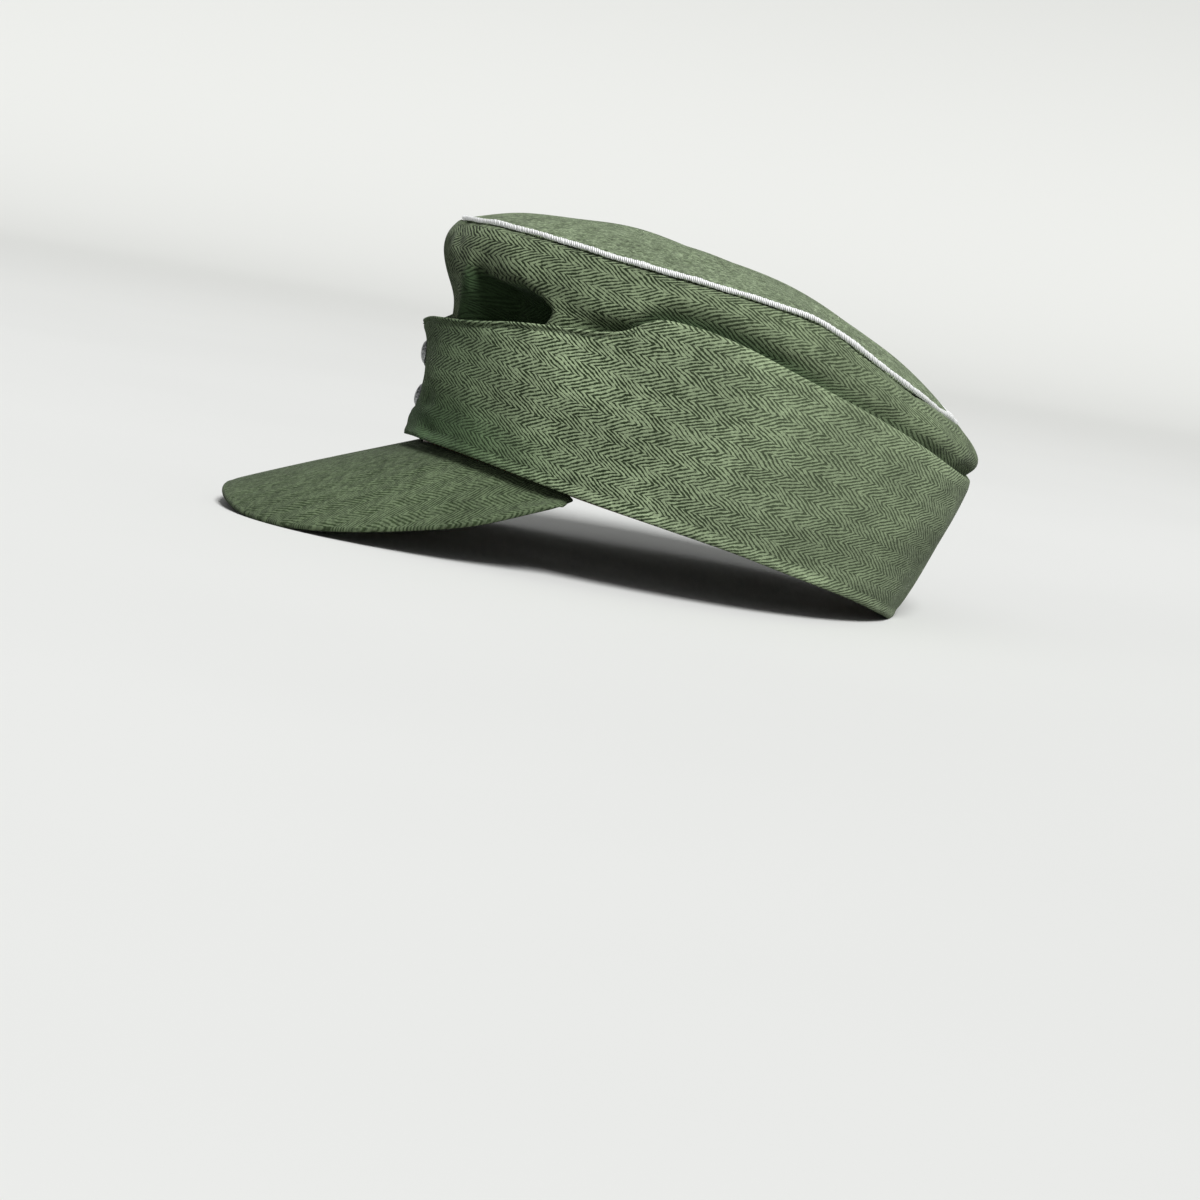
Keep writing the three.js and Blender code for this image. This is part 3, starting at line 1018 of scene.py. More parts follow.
@dataclass(frozen=True)
class ClothFinish:
    """Cotton herringbone twill: its colours, its weave in metres, its sheen, and how painted shade darkens,
    flattens and tints it.
    """

    name: str
    rib: Colour
    gap: Colour
    stripe: float = 0.0051
    pitch: float = 0.0013
    slant: float = 28.0
    wander: float = 0.0032
    relief: float = 0.00035
    tone: float = 0.16
    fleck: float = 0.16
    faded: float = 0.0
    strength: float = 0.9
    sheen: float = 0.07
    # Painted shade: how much the shade attribute darkens the colour, flattens the weave and tints it green.
    painted_shade_strength: float = 0.58
    shade_blur: float = 0.75
    shade_tint: Colour = (0.72, 1.0, 0.76, 1.0)

    def build(self, weave: bpy.types.NodeTree) -> Material:
        """Builds the material.

        Args:
            weave: the herringbone group.

        Returns:
            The finished material.
        """
        material, nodes, shader = start_material(
            self.name, {"Sheen Weight": self.sheen, "Sheen Roughness": 0.45, "Specular IOR Level": 0.18}
        )
        place = nodes.add("ShaderNodeUVMap")
        group = nodes.add("ShaderNodeGroup", node_tree=weave)
        nodes.join(place.outputs["UV"], group.inputs["Vector"])
        for label, value in (
            ("Stripe", self.stripe), ("Pitch", self.pitch), ("Slant", self.slant), ("Wander", self.wander),
        ):
            group.inputs[label].default_value = value
        woven = nodes.mix(group.outputs["Rib"], self.gap, self.rib)
        whole = nodes.add("ShaderNodeTexCoord")
        backwards = nodes.split(whole.outputs["Object"])[1]
        rearward = nodes.spread(backwards, 0.0, 0.12, 0.0, self.faded)
        rib_share = 0.58
        pairs = zip(self.rib, self.gap)
        between = tuple(rib_share * light + (1.0 - rib_share) * dark for light, dark in pairs)
        woven = nodes.mix(rearward, woven, between)
        slow = nodes.spread(group.outputs["Shade"], 0.0, 1.0, 1.0 - self.tone, 1.0 + self.tone * 0.6)
        small = nodes.spread(group.outputs["Fleck"], 0.0, 1.0, 1.0 - self.fleck, 1.0 + self.fleck)
        # Painted shade: where the shade attribute is high, the weave loses contrast, the colour darkens and
        # it turns greener.
        painted_shade = nodes.add("ShaderNodeAttribute", attribute_name=SHADE_ATTRIBUTE)
        woven = nodes.mix(nodes.maths("MULTIPLY", painted_shade.outputs["Fac"], self.shade_blur), woven, between)
        shaded = nodes.maths("SUBTRACT", 1.0, nodes.maths("MULTIPLY", painted_shade.outputs["Fac"], self.painted_shade_strength))
        dim = nodes.maths("MULTIPLY", nodes.maths("MULTIPLY", slow, small), shaded)
        toned = nodes.add("ShaderNodeVectorMath", operation="SCALE")
        nodes.join(woven, toned.inputs[0])
        nodes.join(dim, toned.inputs["Scale"])
        deep = nodes.mix(painted_shade.outputs["Fac"], toned.outputs[0], self.shade_tint, "MULTIPLY")
        nodes.join(deep, shader.inputs["Base Color"])
        rough = nodes.spread(group.outputs["Rib"], 0.0, 1.0, 0.98, 0.84)
        nodes.join(rough, shader.inputs["Roughness"])
        normal = nodes.bump(group.outputs["Height"], self.relief, self.strength)
        nodes.join(normal, shader.inputs["Normal"])
        return material


@dataclass(frozen=True)
class CordFinish:
    """Bright twisted metal thread, which glows a little as painted glints."""

    name: str = "silver piping cord"
    light: Colour = rgb(255, 255, 255)
    dark: Colour = rgb(150, 156, 152)
    thread_pitch: float = 0.00086
    thread_starts: float = 4.0
    relief: float = 0.00022
    painted_glint: float = 0.3

    def build(self) -> Material:
        """Builds the material, whose fine threads slant across the cord."""
        # Painted glints: the cord glows a little through its emission, brightest on its light threads.
        material, nodes, shader = start_material(
            self.name, {"Emission Strength": self.painted_glint, "Specular IOR Level": 0.7, "Roughness": 0.35}
        )
        place = nodes.add("ShaderNodeUVMap")
        cord_along, cord_around, _ = nodes.split(place.outputs["UV"])
        thread_turns = nodes.maths("MULTIPLY", cord_along, math.tau / self.thread_pitch)
        around = nodes.maths("MULTIPLY", cord_around, math.tau * self.thread_starts)
        slanted = nodes.maths("COSINE", nodes.maths("ADD", thread_turns, around))
        wave = nodes.maths("MULTIPLY_ADD", slanted, 0.5, 0.5)
        fleck = nodes.noise(place.outputs["UV"], 700.0, 3.0, 0.7)
        lit = nodes.maths("MULTIPLY_ADD", nodes.maths("SUBTRACT", fleck, 0.5), 1.2, wave)
        colour = nodes.mix(nodes.spread(lit, 0.0, 0.6), self.dark, self.light)
        nodes.join(colour, shader.inputs["Base Color"])
        nodes.join(nodes.bump(wave, self.relief, 0.8), shader.inputs["Normal"])
        glow = nodes.mix(nodes.spread(lit, 0.2, 0.9), self.dark, self.light)
        nodes.join(glow, shader.inputs["Emission Color"])
        return material


@dataclass(frozen=True)
class LeatherFinish:
    """Smooth brown leather with a fine grain."""

    name: str = "brown sweatband leather"
    light: Colour = rgb(136, 92, 68)
    dark: Colour = rgb(88, 56, 40)

    def build(self) -> Material:
        """Builds the material, with grain cells and a slow change of tone."""
        material, nodes, shader = start_material(self.name, {"Roughness": 0.5})
        place = nodes.add("ShaderNodeTexCoord")
        tone = nodes.spread(nodes.noise(place.outputs["Object"], 30.0, 4.0, 0.6), 0.3, 0.7)
        nodes.join(nodes.mix(tone, self.dark, self.light), shader.inputs["Base Color"])
        cells = nodes.add("ShaderNodeTexVoronoi", feature="DISTANCE_TO_EDGE")
        nodes.join(place.outputs["Object"], cells.inputs["Vector"])
        cells.inputs["Scale"].default_value = 900.0
        grain = nodes.spread(cells.outputs["Distance"], 0.0, 0.25)
        nodes.join(nodes.bump(grain, 0.00012, 0.5), shader.inputs["Normal"])
        return material


@dataclass(frozen=True)
class MetalFinish:
    """Grey pebbled button metal, darker in its pits."""

    name: str = "pebbled button metal"
    light: Colour = rgb(196, 198, 199)
    dark: Colour = rgb(112, 114, 116)

    def build(self) -> Material:
        """Builds the material, with a hammered grain and a worn, uneven gloss."""
        material, nodes, shader = start_material(self.name, {"Metallic": 0.85})
        place = nodes.add("ShaderNodeTexCoord")
        pebbles = nodes.add("ShaderNodeTexVoronoi", feature="SMOOTH_F1")
        nodes.join(place.outputs["Object"], pebbles.inputs["Vector"])
        pebbles.inputs["Scale"].default_value = 1500.0
        raised = nodes.spread(pebbles.outputs["Distance"], 0.1, 0.6, 1.0, 0.0)
        nodes.join(nodes.mix(raised, self.dark, self.light), shader.inputs["Base Color"])
        rough = nodes.spread(nodes.noise(place.outputs["Object"], 400.0), 0.3, 0.7, 0.34, 0.55)
        nodes.join(rough, shader.inputs["Roughness"])
        nodes.join(nodes.bump(raised, 0.0002, 0.8), shader.inputs["Normal"])
        return material


@dataclass(frozen=True)
class ThreadFinish:
    """Green cotton sewing thread."""

    name: str = "sewing thread"
    colour: Colour = rgb(92, 108, 82)

    def build(self) -> Material:
        """Builds the material, with a slight change of tone along the seam."""
        material, nodes, shader = start_material(self.name, {"Roughness": 0.7})
        place = nodes.add("ShaderNodeTexCoord")
        tone = nodes.spread(nodes.noise(place.outputs["Object"], 350.0, 2.0), 0.3, 0.7)
        pale = tuple(min(channel * 1.35, 1.0) for channel in self.colour)
        nodes.join(nodes.mix(tone, self.colour, pale), shader.inputs["Base Color"])
        return material


SIDE_CLOTH = ClothFinish("sage herringbone cloth", rgb(168, 186, 148), rgb(46, 60, 36), faded=0.5)
# Painted shade: the crown wall takes a darker copy of the side cloth, which stands in for the lower light on
# the crown.
SHADED_CROWN_CLOTH = ClothFinish("shaded crown herringbone cloth", rgb(142, 158, 124), rgb(40, 52, 31), faded=0.4)
CLOTH_BACK = ClothFinish("back of the cloth", rgb(128, 142, 114), rgb(84, 96, 72), strength=0.5)
PEAK_CLOTH = ClothFinish(
    "peak cloth", rgb(103, 118, 89), rgb(58, 72, 47), stripe=0.0038, pitch=0.00095, strength=0.7, fleck=0.3
)
TOP_CLOTH = ClothFinish(
    "top panel cloth", rgb(152, 168, 136), rgb(72, 86, 58), stripe=0.0042, pitch=0.00105, fleck=0.42
)


class Finishes:
    """Every material of the cap, each built once."""

    def __init__(self) -> None:
        """Builds the weave group, the cloths that use it and the other materials."""
        weave = herringbone_group()
        self.cloth = SIDE_CLOTH.build(weave)
        self.shaded_crown_cloth = SHADED_CROWN_CLOTH.build(weave)
        self.cloth_back = CLOTH_BACK.build(weave)
        self.peak_cloth = PEAK_CLOTH.build(weave)
        self.top_cloth = TOP_CLOTH.build(weave)
        self.cord = CordFinish().build()
        self.leather = LeatherFinish().build()
        self.metal = MetalFinish().build()
        self.thread = ThreadFinish().build()


@dataclass
class Workshop:
    """What every sub-assembly needs: the form, its place at rest and the finishes."""

    form: CapForm
    rest: RestPlace
    finishes: Finishes


class SheetGrid:
    """The columns and rows of a flat sheet's vertices."""

    def __init__(self, sheet: Piece, columns: int, rows: int) -> None:
        """Reads which column and row each vertex of a new sheet is in.

        Args:
            sheet: the new sheet.
            columns: squares along it.
            rows: squares up it.
        """
        self.across, self.up = sheet_places(sheet)
        self.columns = columns
        self.rows = rows
        self.column = np.rint(self.across * columns).astype(int)
        self.row = np.rint(self.up * rows).astype(int)

    def lattice(self, face: Surface) -> Array:
        """Gives a face's points by column and row, from shares of the sheet's length and width."""
        across, up = np.meshgrid(
            np.linspace(0.0, 1.0, self.columns + 1), np.linspace(0.0, 1.0, self.rows + 1), indexing="ij"
        )
        return face(across, up)

    def from_lattice(self, lattice: Array) -> Array:
        """Gives the lattice's value at each vertex."""
        return lattice[self.column, self.row]


def run_lengths(lattice: Array, axis: int) -> Array:
    """Gives the length run along one axis of a lattice of points, from its first row.

    Args:
        lattice: points by column and row.
        axis: 0 for along the columns, 1 for up the rows.

    Returns:
        The length at each lattice point.
    """
    steps = np.linalg.norm(np.diff(lattice, axis=axis), axis=-1)
    run = np.cumsum(steps, axis=axis)
    first = np.zeros_like(np.take(run, [0], axis=axis))
    return np.concatenate([first, run], axis=axis)


def square_to_round(x: Array, y: Array) -> tuple[Array, Array]:
    """Lays a square out as a disc, its squares as rings.

    Args:
        x: places across the square, -1 to 1.
        y: places up the square, -1 to 1.

    Returns:
        The angle in degrees and the distance from the centre, 0 to 1.
    """
    side = np.abs(x) > np.abs(y)
    larger = np.where(side, x, y)
    smaller = np.where(side, y, x)
    share = 45.0 * smaller / np.where(larger == 0.0, 1.0, larger)
    angle = np.where(side, share, 90.0 - share) + np.where(larger < 0.0, 180.0, 0.0)
    return angle, np.abs(larger)


def arc_lengths(points: Array) -> Array:
    """Gives the distance run along a row of points, starting from 0."""
    steps = np.linalg.norm(np.diff(points, axis=0), axis=-1)
    return np.concatenate([[0.0], np.cumsum(steps)])


def outward_from_axis(centre: Vector) -> Vector:
    """Points from the cap's upright middle line out to a place."""
    return Vector((centre.x, centre.y - 0.02, 0.0))


@dataclass
class Crown:
    """The soft crown: side wall, domed top panel and the cord between them."""

    shop: Workshop
    wall_columns: int = 380
    wall_rows: int = 31
    top_grid: int = 110
    cord_steps: int = 1500
    cord_sides: int = 16
    cord_radius: float = 1.05
    cord_out: float = 0.1
    cord_lift: float = 1.1
    cord_lay: float = 2.4
    cord_strands: int = 2
    rear_sag: float = 1.8
    overhang: float = 2.4
    tuck: float = 2.6
    soft_wave: float = 0.55
    seam_pucker: float = 0.28
    top_wave: float = 0.5
    top_pucker: float = 0.22
    waves: Ripple = field(default_factory=lambda: Ripple(4, 34.0))
    seam_waves: Ripple = field(default_factory=lambda: Ripple(9, 9.0))

    def build(self) -> None:
        """Builds the three pieces."""
        self.wall()
        self.top()
        self.cord()

    def wall_relief(self, angle: Array, share: Array) -> Array:
        """Gives how far the wall's cloth stands out of its main form, in mm.

        Args:
            angle: degrees from the front.
            share: how far up it is, from 0 at the rim to 1.

        Returns:
            The distance.
        """
        form = self.shop.form
        height = form.crown_height(angle, share)
        run = WAVE_ROUND * wrapped(angle)
        place = folded(angle)
        edge = form.flap_top(place)
        shown = smooth_step(height, edge - 9.0, edge + 2.0)
        below_seam = form.seam(place) - height
        above_edge = height - edge
        side = self.side_groove(place)
        overhang = side * self.overhang * bell(above_edge - 7.5, 4.0)
        hidden = (1.0 - smooth_step(above_edge, -1.0, 5.0)) * smooth_step(above_edge, -16.0, -6.0)
        tucked = side * self.tuck * hidden
        hollow = form.hollow.at(place, height) - fold_depth((SOFT_HOLLOW,), angle, height)
        fade = off_rear(angle)
        soft = self.soft_wave * fade * self.waves(run, height) * smooth_step(below_seam, 1.0, 12.0)
        seam_waves = self.seam_waves(run, 0.2 * height) * bell(below_seam - 3.0, 4.0)
        pucker = self.seam_pucker * fade * seam_waves
        folds = fold_depth(FINE_FOLDS, angle, height)
        return shown * (soft + pucker - folds) + overhang - tucked - hollow

    def side_groove(self, place: Array) -> Array:
        """Gives how clear the groove between crown and flap is: clear over the ear, faint behind it."""
        return smooth_step(place, 56.0, 74.0) * (1.0 - 0.72 * smooth_step(place, 92.0, 122.0))

    def wall_painted_shade(self, angle: Array, share: Array) -> Array:
        """Gives the wall's painted shade, from 0 to 1: in the hollow and in the groove above the flap's edge.

        Args:
            angle: degrees from the front.
            share: how far up it is, from 0 at the rim to 1.

        Returns:
            The share at each place.
        """
        form = self.shop.form
        place = folded(angle)
        height = form.crown_height(angle, share)
        above_edge = height - form.flap_top(place)
        # Painted shade in the groove under the crown's overhang, just above the flap's edge.
        groove = 0.72 * self.side_groove(place) * (1.0 - smooth_step(above_edge, 0.0, 5.0))
        return np.maximum(form.hollow.shade(place, height), groove)

    def wall_face(self, across: Array, up: Array) -> Array:
        """Gives the finished outer face of the wall, by shares of the sheet.

        Args:
            across: the share of the sheet's length.
            up: the share of the sheet's width.

        Returns:
            An array of points in the level frame.
        """
        angle, share = 360.0 * across - 180.0, up
        form = self.shop.form
        points = form.crown(angle, share)
        normal = form.outward(form.crown, angle, share)
        level = np.broadcast_to(-inward(points), normal.shape)
        out = self.wall_relief(angle, share)[..., None]
        deep = smooth_step(-out, 1.5, 4.0)
        return points + out * (normal + (level - normal) * deep)

    def wall(self) -> None:
        """Builds the side wall as one sheet whose ends meet at the rear."""
        sheet = new_sheet("crown_wall_cloth", self.wall_columns, self.wall_rows)
        grid = SheetGrid(sheet, self.wall_columns, self.wall_rows)
        points = self.wall_face(grid.across, grid.up)
        move_vertices(sheet, self.shop.rest.metres(points))
        smooth = grid.lattice(lambda across, up: self.shop.form.crown(360.0 * across - 180.0, up, ()))
        around = run_lengths(smooth, 0)[:, self.wall_rows // 2, None]
        up = run_lengths(smooth, 1)
        weave = np.stack([0.0 * up + around, up], axis=-1)
        set_weave_map(sheet, grid.from_lattice(weave) * MM)
        # Painted shade in the hollow and in the groove above the flap.
        set_painted_shade(sheet, self.wall_painted_shade(360.0 * grid.across - 180.0, grid.up))
        merge_doubles(sheet)
        face_along(sheet, outward_from_axis)
        thicken(sheet, CROWN_THICKNESS)
        faces = (self.shop.finishes.shaded_crown_cloth, self.shop.finishes.cloth_back)
        finish_piece(sheet, faces, ["crown_wall"])

    def top_face(self, angle: Array, share: Array) -> Array:
        """Gives the finished outer face of the top panel.

        Args:
            angle: degrees from the front.
            share: 0 at the seam and 1 at the middle.

        Returns:
            An array of points in the level frame.
        """
        form = self.shop.form
        base = form.top(angle, share)
        inside = smooth_step(share, 0.0, 0.25) * (1.0 - smooth_step(share, 0.8, 1.0))
        sag = self.top_wave * self.waves(base[..., 0] * 0.5 + 40.0, base[..., 1] * 0.5) * inside
        sag = sag - self.rear_sag * bell(base[..., 1] - 58.0, 26.0) * smooth_step(share, 0.0, 0.35)
        from_seam = share * 95.0
        seam_waves = self.seam_waves(WAVE_ROUND * wrapped(angle), 3.0 * share) * bell(from_seam - 3.0, 4.0)
        pucker = self.top_pucker * off_rear(angle) * seam_waves
        return base + np.stack([0.0 * sag, 0.0 * sag, sag + pucker], axis=-1)

    def top(self) -> None:
        """Builds the domed panel from a square grid whose squares become rings."""
        sheet = new_sheet("crown_top_cloth", self.top_grid, self.top_grid)
        place = vertex_places(sheet)[:, :2] * 2.0
        angle, from_centre = square_to_round(place[:, 0], place[:, 1])
        points = self.top_face(angle, 1.0 - from_centre)
        move_vertices(sheet, self.shop.rest.metres(points))
        set_weave_map(sheet, points[:, [1, 0]] * MM)
        face_along(sheet, lambda centre: Vector((0.0, 0.0, 1.0)))
        thicken(sheet, TOP_THICKNESS)
        faces = (self.shop.finishes.top_cloth, self.shop.finishes.cloth_back)
        finish_piece(sheet, faces, ["crown_top"])

    def cord(self) -> None:
        """Builds the twisted cord in the seam as a long sheet rolled into a ring-shaped tube."""
        form = self.shop.form
        cord = new_sheet("crown_piping_cord", self.cord_steps, self.cord_sides)
        along, up = sheet_places(cord)
        turn, around = 360.0 * along, math.tau * up
        level = np.linspace(0.0, 360.0, 1441)
        girth = arc_lengths(form.crown(level, np.ones_like(level)))
        run = np.interp(turn, level, girth)
        seam = form.crown(turn, np.ones_like(turn))
        heading = form.crown(turn + 0.2, np.ones_like(turn)) - form.crown(turn - 0.2, np.ones_like(turn))
        outward = unit(np.stack([heading[:, 1], -heading[:, 0], 0.0 * heading[:, 0]], axis=-1))
        outward *= np.sign(np.sum(outward * -inward(seam), axis=-1))[:, None]
        lays = round(girth[-1] / self.cord_lay)
        twist = self.cord_strands * around / 2.0 + math.pi * lays * run / girth[-1]
        front = bell(wrapped(turn), 24.0)
        rear = smooth_step(folded(turn), 134.0, 150.0)
        off_front = smooth_step(folded(turn), 0.5, 8.0)
        uneven = 1.0 + 0.1 * off_front * self.seam_waves(run, 0.0 * run)
        radius = self.cord_radius * (0.8 + 0.26 * np.abs(np.cos(twist))) * (1.0 - 0.3 * front) * uneven
        centre = seam + outward * (self.cord_out - 0.8 * front - 0.8 * rear)[:, None]
        swing = 0.12 * np.sin(math.tau * run * round(girth[-1] / 23.0) / girth[-1])
        centre[:, 2] += self.cord_lift + swing - 0.3 * front - 0.9 * rear
        points = centre + outward * (radius * np.cos(around))[:, None]
        points[:, 2] += radius * np.sin(around)
        move_vertices(cord, self.shop.rest.metres(points))
        set_weave_map(cord, np.stack([run * MM, up], axis=-1))
        merge_doubles(cord)
        turn_faces_out(cord)
        finish_piece(cord, (self.shop.finishes.cord,), ["crown_piping"])


@dataclass
class Flap:
    """The folded side flap with its hems, its lap at the front and its row of stitches."""

    shop: Workshop
    columns: int = 380
    rows: int = 31
    edge_crowding: float = 0.84
    hem_width: float = 2.5
    edge_pucker: float = 0.16
    soft_wave: float = 0.45
    rim_draw: float = 1.8
    corner_radii: tuple[float, float] = (3.0, 6.5)
    button_heights: tuple[float, float] = (17.0, 34.5)
    waves: Ripple = field(default_factory=lambda: Ripple(21, 40.0))
    edge_waves: Ripple = field(default_factory=lambda: Ripple(33, 7.0))

    def build(self) -> None:
        """Builds the flap and its stitches."""
        self.cloth()
        self.stitches()

    @staticmethod
    def turn_of(across: Array) -> Array:
        """Gives the flap's turn at a share of its length, from its right end to its left end."""
        return LAP_ANGLE - (360.0 + 2.0 * LAP_ANGLE) * across

    def crowded(self, up: Array) -> Array:
        """Brings the rows of the sheet closer together at the flap's two long edges."""
        return up - self.edge_crowding * np.sin(math.tau * up) / math.tau

    def relief(self, turn: Array, share: Array) -> Array:
        """Gives how far the flap's cloth stands out of its main form, in mm.

        Args:
            turn: degrees from the front, growing towards the wearer's left.
            share: how far up it is, from 0 at the rim to 1.

        Returns:
            The distance.
        """
        form = self.shop.form
        place = folded(turn)
        height = form.flap_height(turn, share)
        run = WAVE_ROUND * wrapped(turn)
        from_top = form.flap_top(place) - height
        from_rim = height - form.rim(place)
        front = 1.0 - smooth_step(place, 70.0, 82.0)
        roll = (0.2 + 0.25 * front) * bell(from_top - 1.0, 1.1)
        groove = (0.1 + 0.55 * front) * bell(from_top - self.hem_width, 0.8)
        soft_fold = 0.5 * (1.0 - front) * bell(from_top - 3.0, 3.0)
        rim_roll = 0.55 * bell(from_rim - 1.6, 1.7) - 0.25 * bell(from_rim - 4.4, 1.1)
        near_edge = bell(from_top - 3.0, 2.5) * front + bell(from_rim - 3.0, 2.5)
        pucker = self.edge_pucker * self.edge_waves(run, 0.0) * near_edge
        middle = smooth_step(from_top, 0.0, 8.0) * smooth_step(from_rim, 0.0, 8.0)
        soft = self.soft_wave * self.waves(run, height) * middle
        gathered = self.gathered(turn, height)
        folds = fold_depth(FLAP_FOLDS, turn, height) * smooth_step(from_rim, 0.0, 3.0)
        drawn_in = self.rim_draw * (1.0 - smooth_step(from_rim, 0.0, 20.0)) * bell(place - 52.0, 26.0)
        return roll - groove + soft_fold + rim_roll + pucker + soft + gathered - folds - drawn_in

    def front_painted_shade(self, turn: Array, share: Array) -> Array:
        """Gives the flap's painted shade, from 0 to 1: darkest at the front and along the rim near the front.

        Args:
            turn: degrees from the front, growing towards the wearer's left.
            share: how far up it is, from 0 at the rim to 1.

        Returns:
            The share at each place.
        """
        form = self.shop.form
        place = folded(turn)
        from_rim = form.flap_height(turn, share) - form.rim(place)
        ahead = 0.36 * (1.0 - smooth_step(place, 24.0, 60.0))
        low = 0.55 * (1.0 - smooth_step(from_rim, 8.0, 26.0)) * (1.0 - smooth_step(place, 40.0, 76.0))
        return ahead + low

    def gathered(self, turn: Array, height: Array) -> Array:
        """Gives how the cloth swells round the buttons, which hold it in, near the front centre.

        Args:
            turn: degrees from the front, growing towards the wearer's left.
            height: height in the level frame.

        Returns:
            How far it stands out, in mm.
        """
        sideways = FLAP_ROUND * wrapped(turn)
        free = np.ones_like(height)
        for button in self.button_heights:
            free = free * (1.0 - bell(np.hypot(sideways, height - button), 7.5))
        puff = 1.7 * free * bell(height - 25.5, 7.0) + 3.0 * free * smooth_step(height, 40.0, 46.0)
        drawn = 2.3 * bell(height - 26.0, 15.0) + 1.0 * (1.0 - smooth_step(height, 0.0, 6.0))
        return (puff - drawn) * bell(sideways, 15.0)

    @staticmethod
    def corner_cut(to_end: Array, radius: float) -> Array:
        """Gives how far a rounded corner takes the edge in, at a distance from the flap's end."""
        return radius - np.sqrt(np.maximum(radius**2 - np.maximum(radius - to_end, 0.0) ** 2, 0.0))

    def face(self, across: Array, up: Array) -> Array:
        """Gives the finished outer face of the flap, by shares of the sheet.

        Args:
            across: the share of the sheet's length.
            up: the share of the sheet's width.

        Returns:
            An array of points in the level frame.
        """
        form = self.shop.form
        turn, share = self.turn_of(across), self.crowded(up)
        length = FLAP_ROUND * (360.0 + 2.0 * LAP_ANGLE)
        to_end = np.minimum(across, 1.0 - across) * length
        width = form.flap_top(folded(turn)) - form.rim(folded(turn))
        top_cut, low_cut = (self.corner_cut(to_end, radius) / width for radius in self.corner_radii)
        share = low_cut + share * (1.0 - low_cut - top_cut)
        points = form.offset(form.flap, turn, share, self.relief(turn, share))
        height = form.flap_height(turn, share)
        left_end = np.exp(-(1.0 - across) * length / 12.0)
        flare = 4.2 * left_end * bell(height - 8.5, 4.5)
        below_top = form.flap_top(folded(turn)) - height
        lean_in = 1.4 * bell(wrapped(turn), 9.0) * np.square(np.maximum(1.0 - below_top / 4.5, 0.0))
        beside = smooth_step(folded(turn), 68.0, 78.0)
        lean_side = 1.6 * beside * np.square(np.maximum(1.0 - below_top / 10.0, 0.0))
        return points - inward(points) * (flare - lean_in - lean_side)[..., None]

    def cloth(self) -> None:
        """Builds the flap as one sheet with two free ends at the front."""
        sheet = new_sheet("flap_cloth", self.columns, self.rows)
        grid = SheetGrid(sheet, self.columns, self.rows)
        move_vertices(sheet, self.shop.rest.metres(self.face(grid.across, grid.up)))
        smooth = grid.lattice(lambda across, up: self.shop.form.flap(self.turn_of(across), self.crowded(up)))
        around = run_lengths(smooth, 0)[:, self.rows // 2, None]
        up = run_lengths(smooth, 1)
        weave = np.stack([0.0 * up - around, up], axis=-1)
        set_weave_map(sheet, grid.from_lattice(weave) * MM)
        # Painted shade on the flap, darkest at its lower front.
        set_painted_shade(sheet, self.front_painted_shade(self.turn_of(grid.across), self.crowded(grid.up)))
        face_along(sheet, outward_from_axis)
        thicken(sheet, FLAP_THICKNESS)
        faces = (self.shop.finishes.cloth, self.shop.finishes.cloth_back)
        finish_piece(sheet, faces, ["flap"])

    def stitches(self) -> None:
        """Sews a row of stitches in the groove under the hem, on both front parts of the flap."""
        step, length, radius, sunk = 2.6, 1.9, 0.24, 0.1
        form = self.shop.form
        rows = []
        for start, end in ((LAP_ANGLE - 1.0, -74.0), (-286.0, -360.0 - LAP_ANGLE + 1.0)):
            turns = np.linspace(start, end, 400)
            width = form.flap_top(folded(turns)) - form.rim(folded(turns))
            share = 1.0 - self.hem_width / width
            line = form.offset(form.flap, turns, share, self.relief(turns, share) - sunk + radius)
            run = arc_lengths(line)
            count = int(run[-1] // step)
            at = (np.arange(count) + 0.5) * step
            middle = np.stack([np.interp(at, run, line[:, axis]) for axis in range(3)], axis=-1)
            ahead = np.stack([np.interp(at + 0.5, run, line[:, axis]) for axis in range(3)], axis=-1) - middle
            rows.append((middle, unit(ahead)))
        middles = np.concatenate([row[0] for row in rows])
        heads = np.concatenate([row[1] for row in rows])
        piece = scatter_stitches("flap_stitches", middles, heads, length, radius, self.shop.rest)
        finish_piece(piece, (self.shop.finishes.thread,), [])


def scatter_stitches(
    name: str, middles: Array, heads: Array, length: float, radius: float, rest: RestPlace
) -> Piece:
    """Copies one small rounded stitch along a seam, as one mesh.

    Args:
        name: the piece's name.
        middles: the middle of each stitch, in the level frame.
        heads: the direction of each stitch.
        length: the stitch's length in mm.
        radius: the thread's radius in mm.
        rest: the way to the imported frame.

    Returns:
        The joined piece.
    """
    clear_selection()
    bpy.ops.mesh.primitive_uv_sphere_add(segments=8, ring_count=6, radius=1.0)
    piece = bpy.context.object
    piece.name = name
    shape = vertex_places(piece)
    faces = [tuple(polygon.vertices) for polygon in piece.data.polygons]
    side = unit(np.cross(heads, np.array([0.0, 0.0, 1.0])))
    above = np.cross(side, heads)
    bodies = []
    polygons = []
    for number, (middle, head) in enumerate(zip(middles, heads)):
        lengthwise = np.outer(shape[:, 0] * length / 2.0, head)
        sideways = np.outer(shape[:, 1] * radius, side[number])
        upwards = np.outer(shape[:, 2] * radius, above[number])
        bodies.append(middle + lengthwise + sideways + upwards)
        first = number * len(shape)
        polygons.extend(tuple(first + corner for corner in face) for face in faces)
    mesh = bpy.data.meshes.new(name)
    mesh.from_pydata(rest.metres(np.concatenate(bodies)).tolist(), [], polygons)
    piece.data = mesh
    return piece


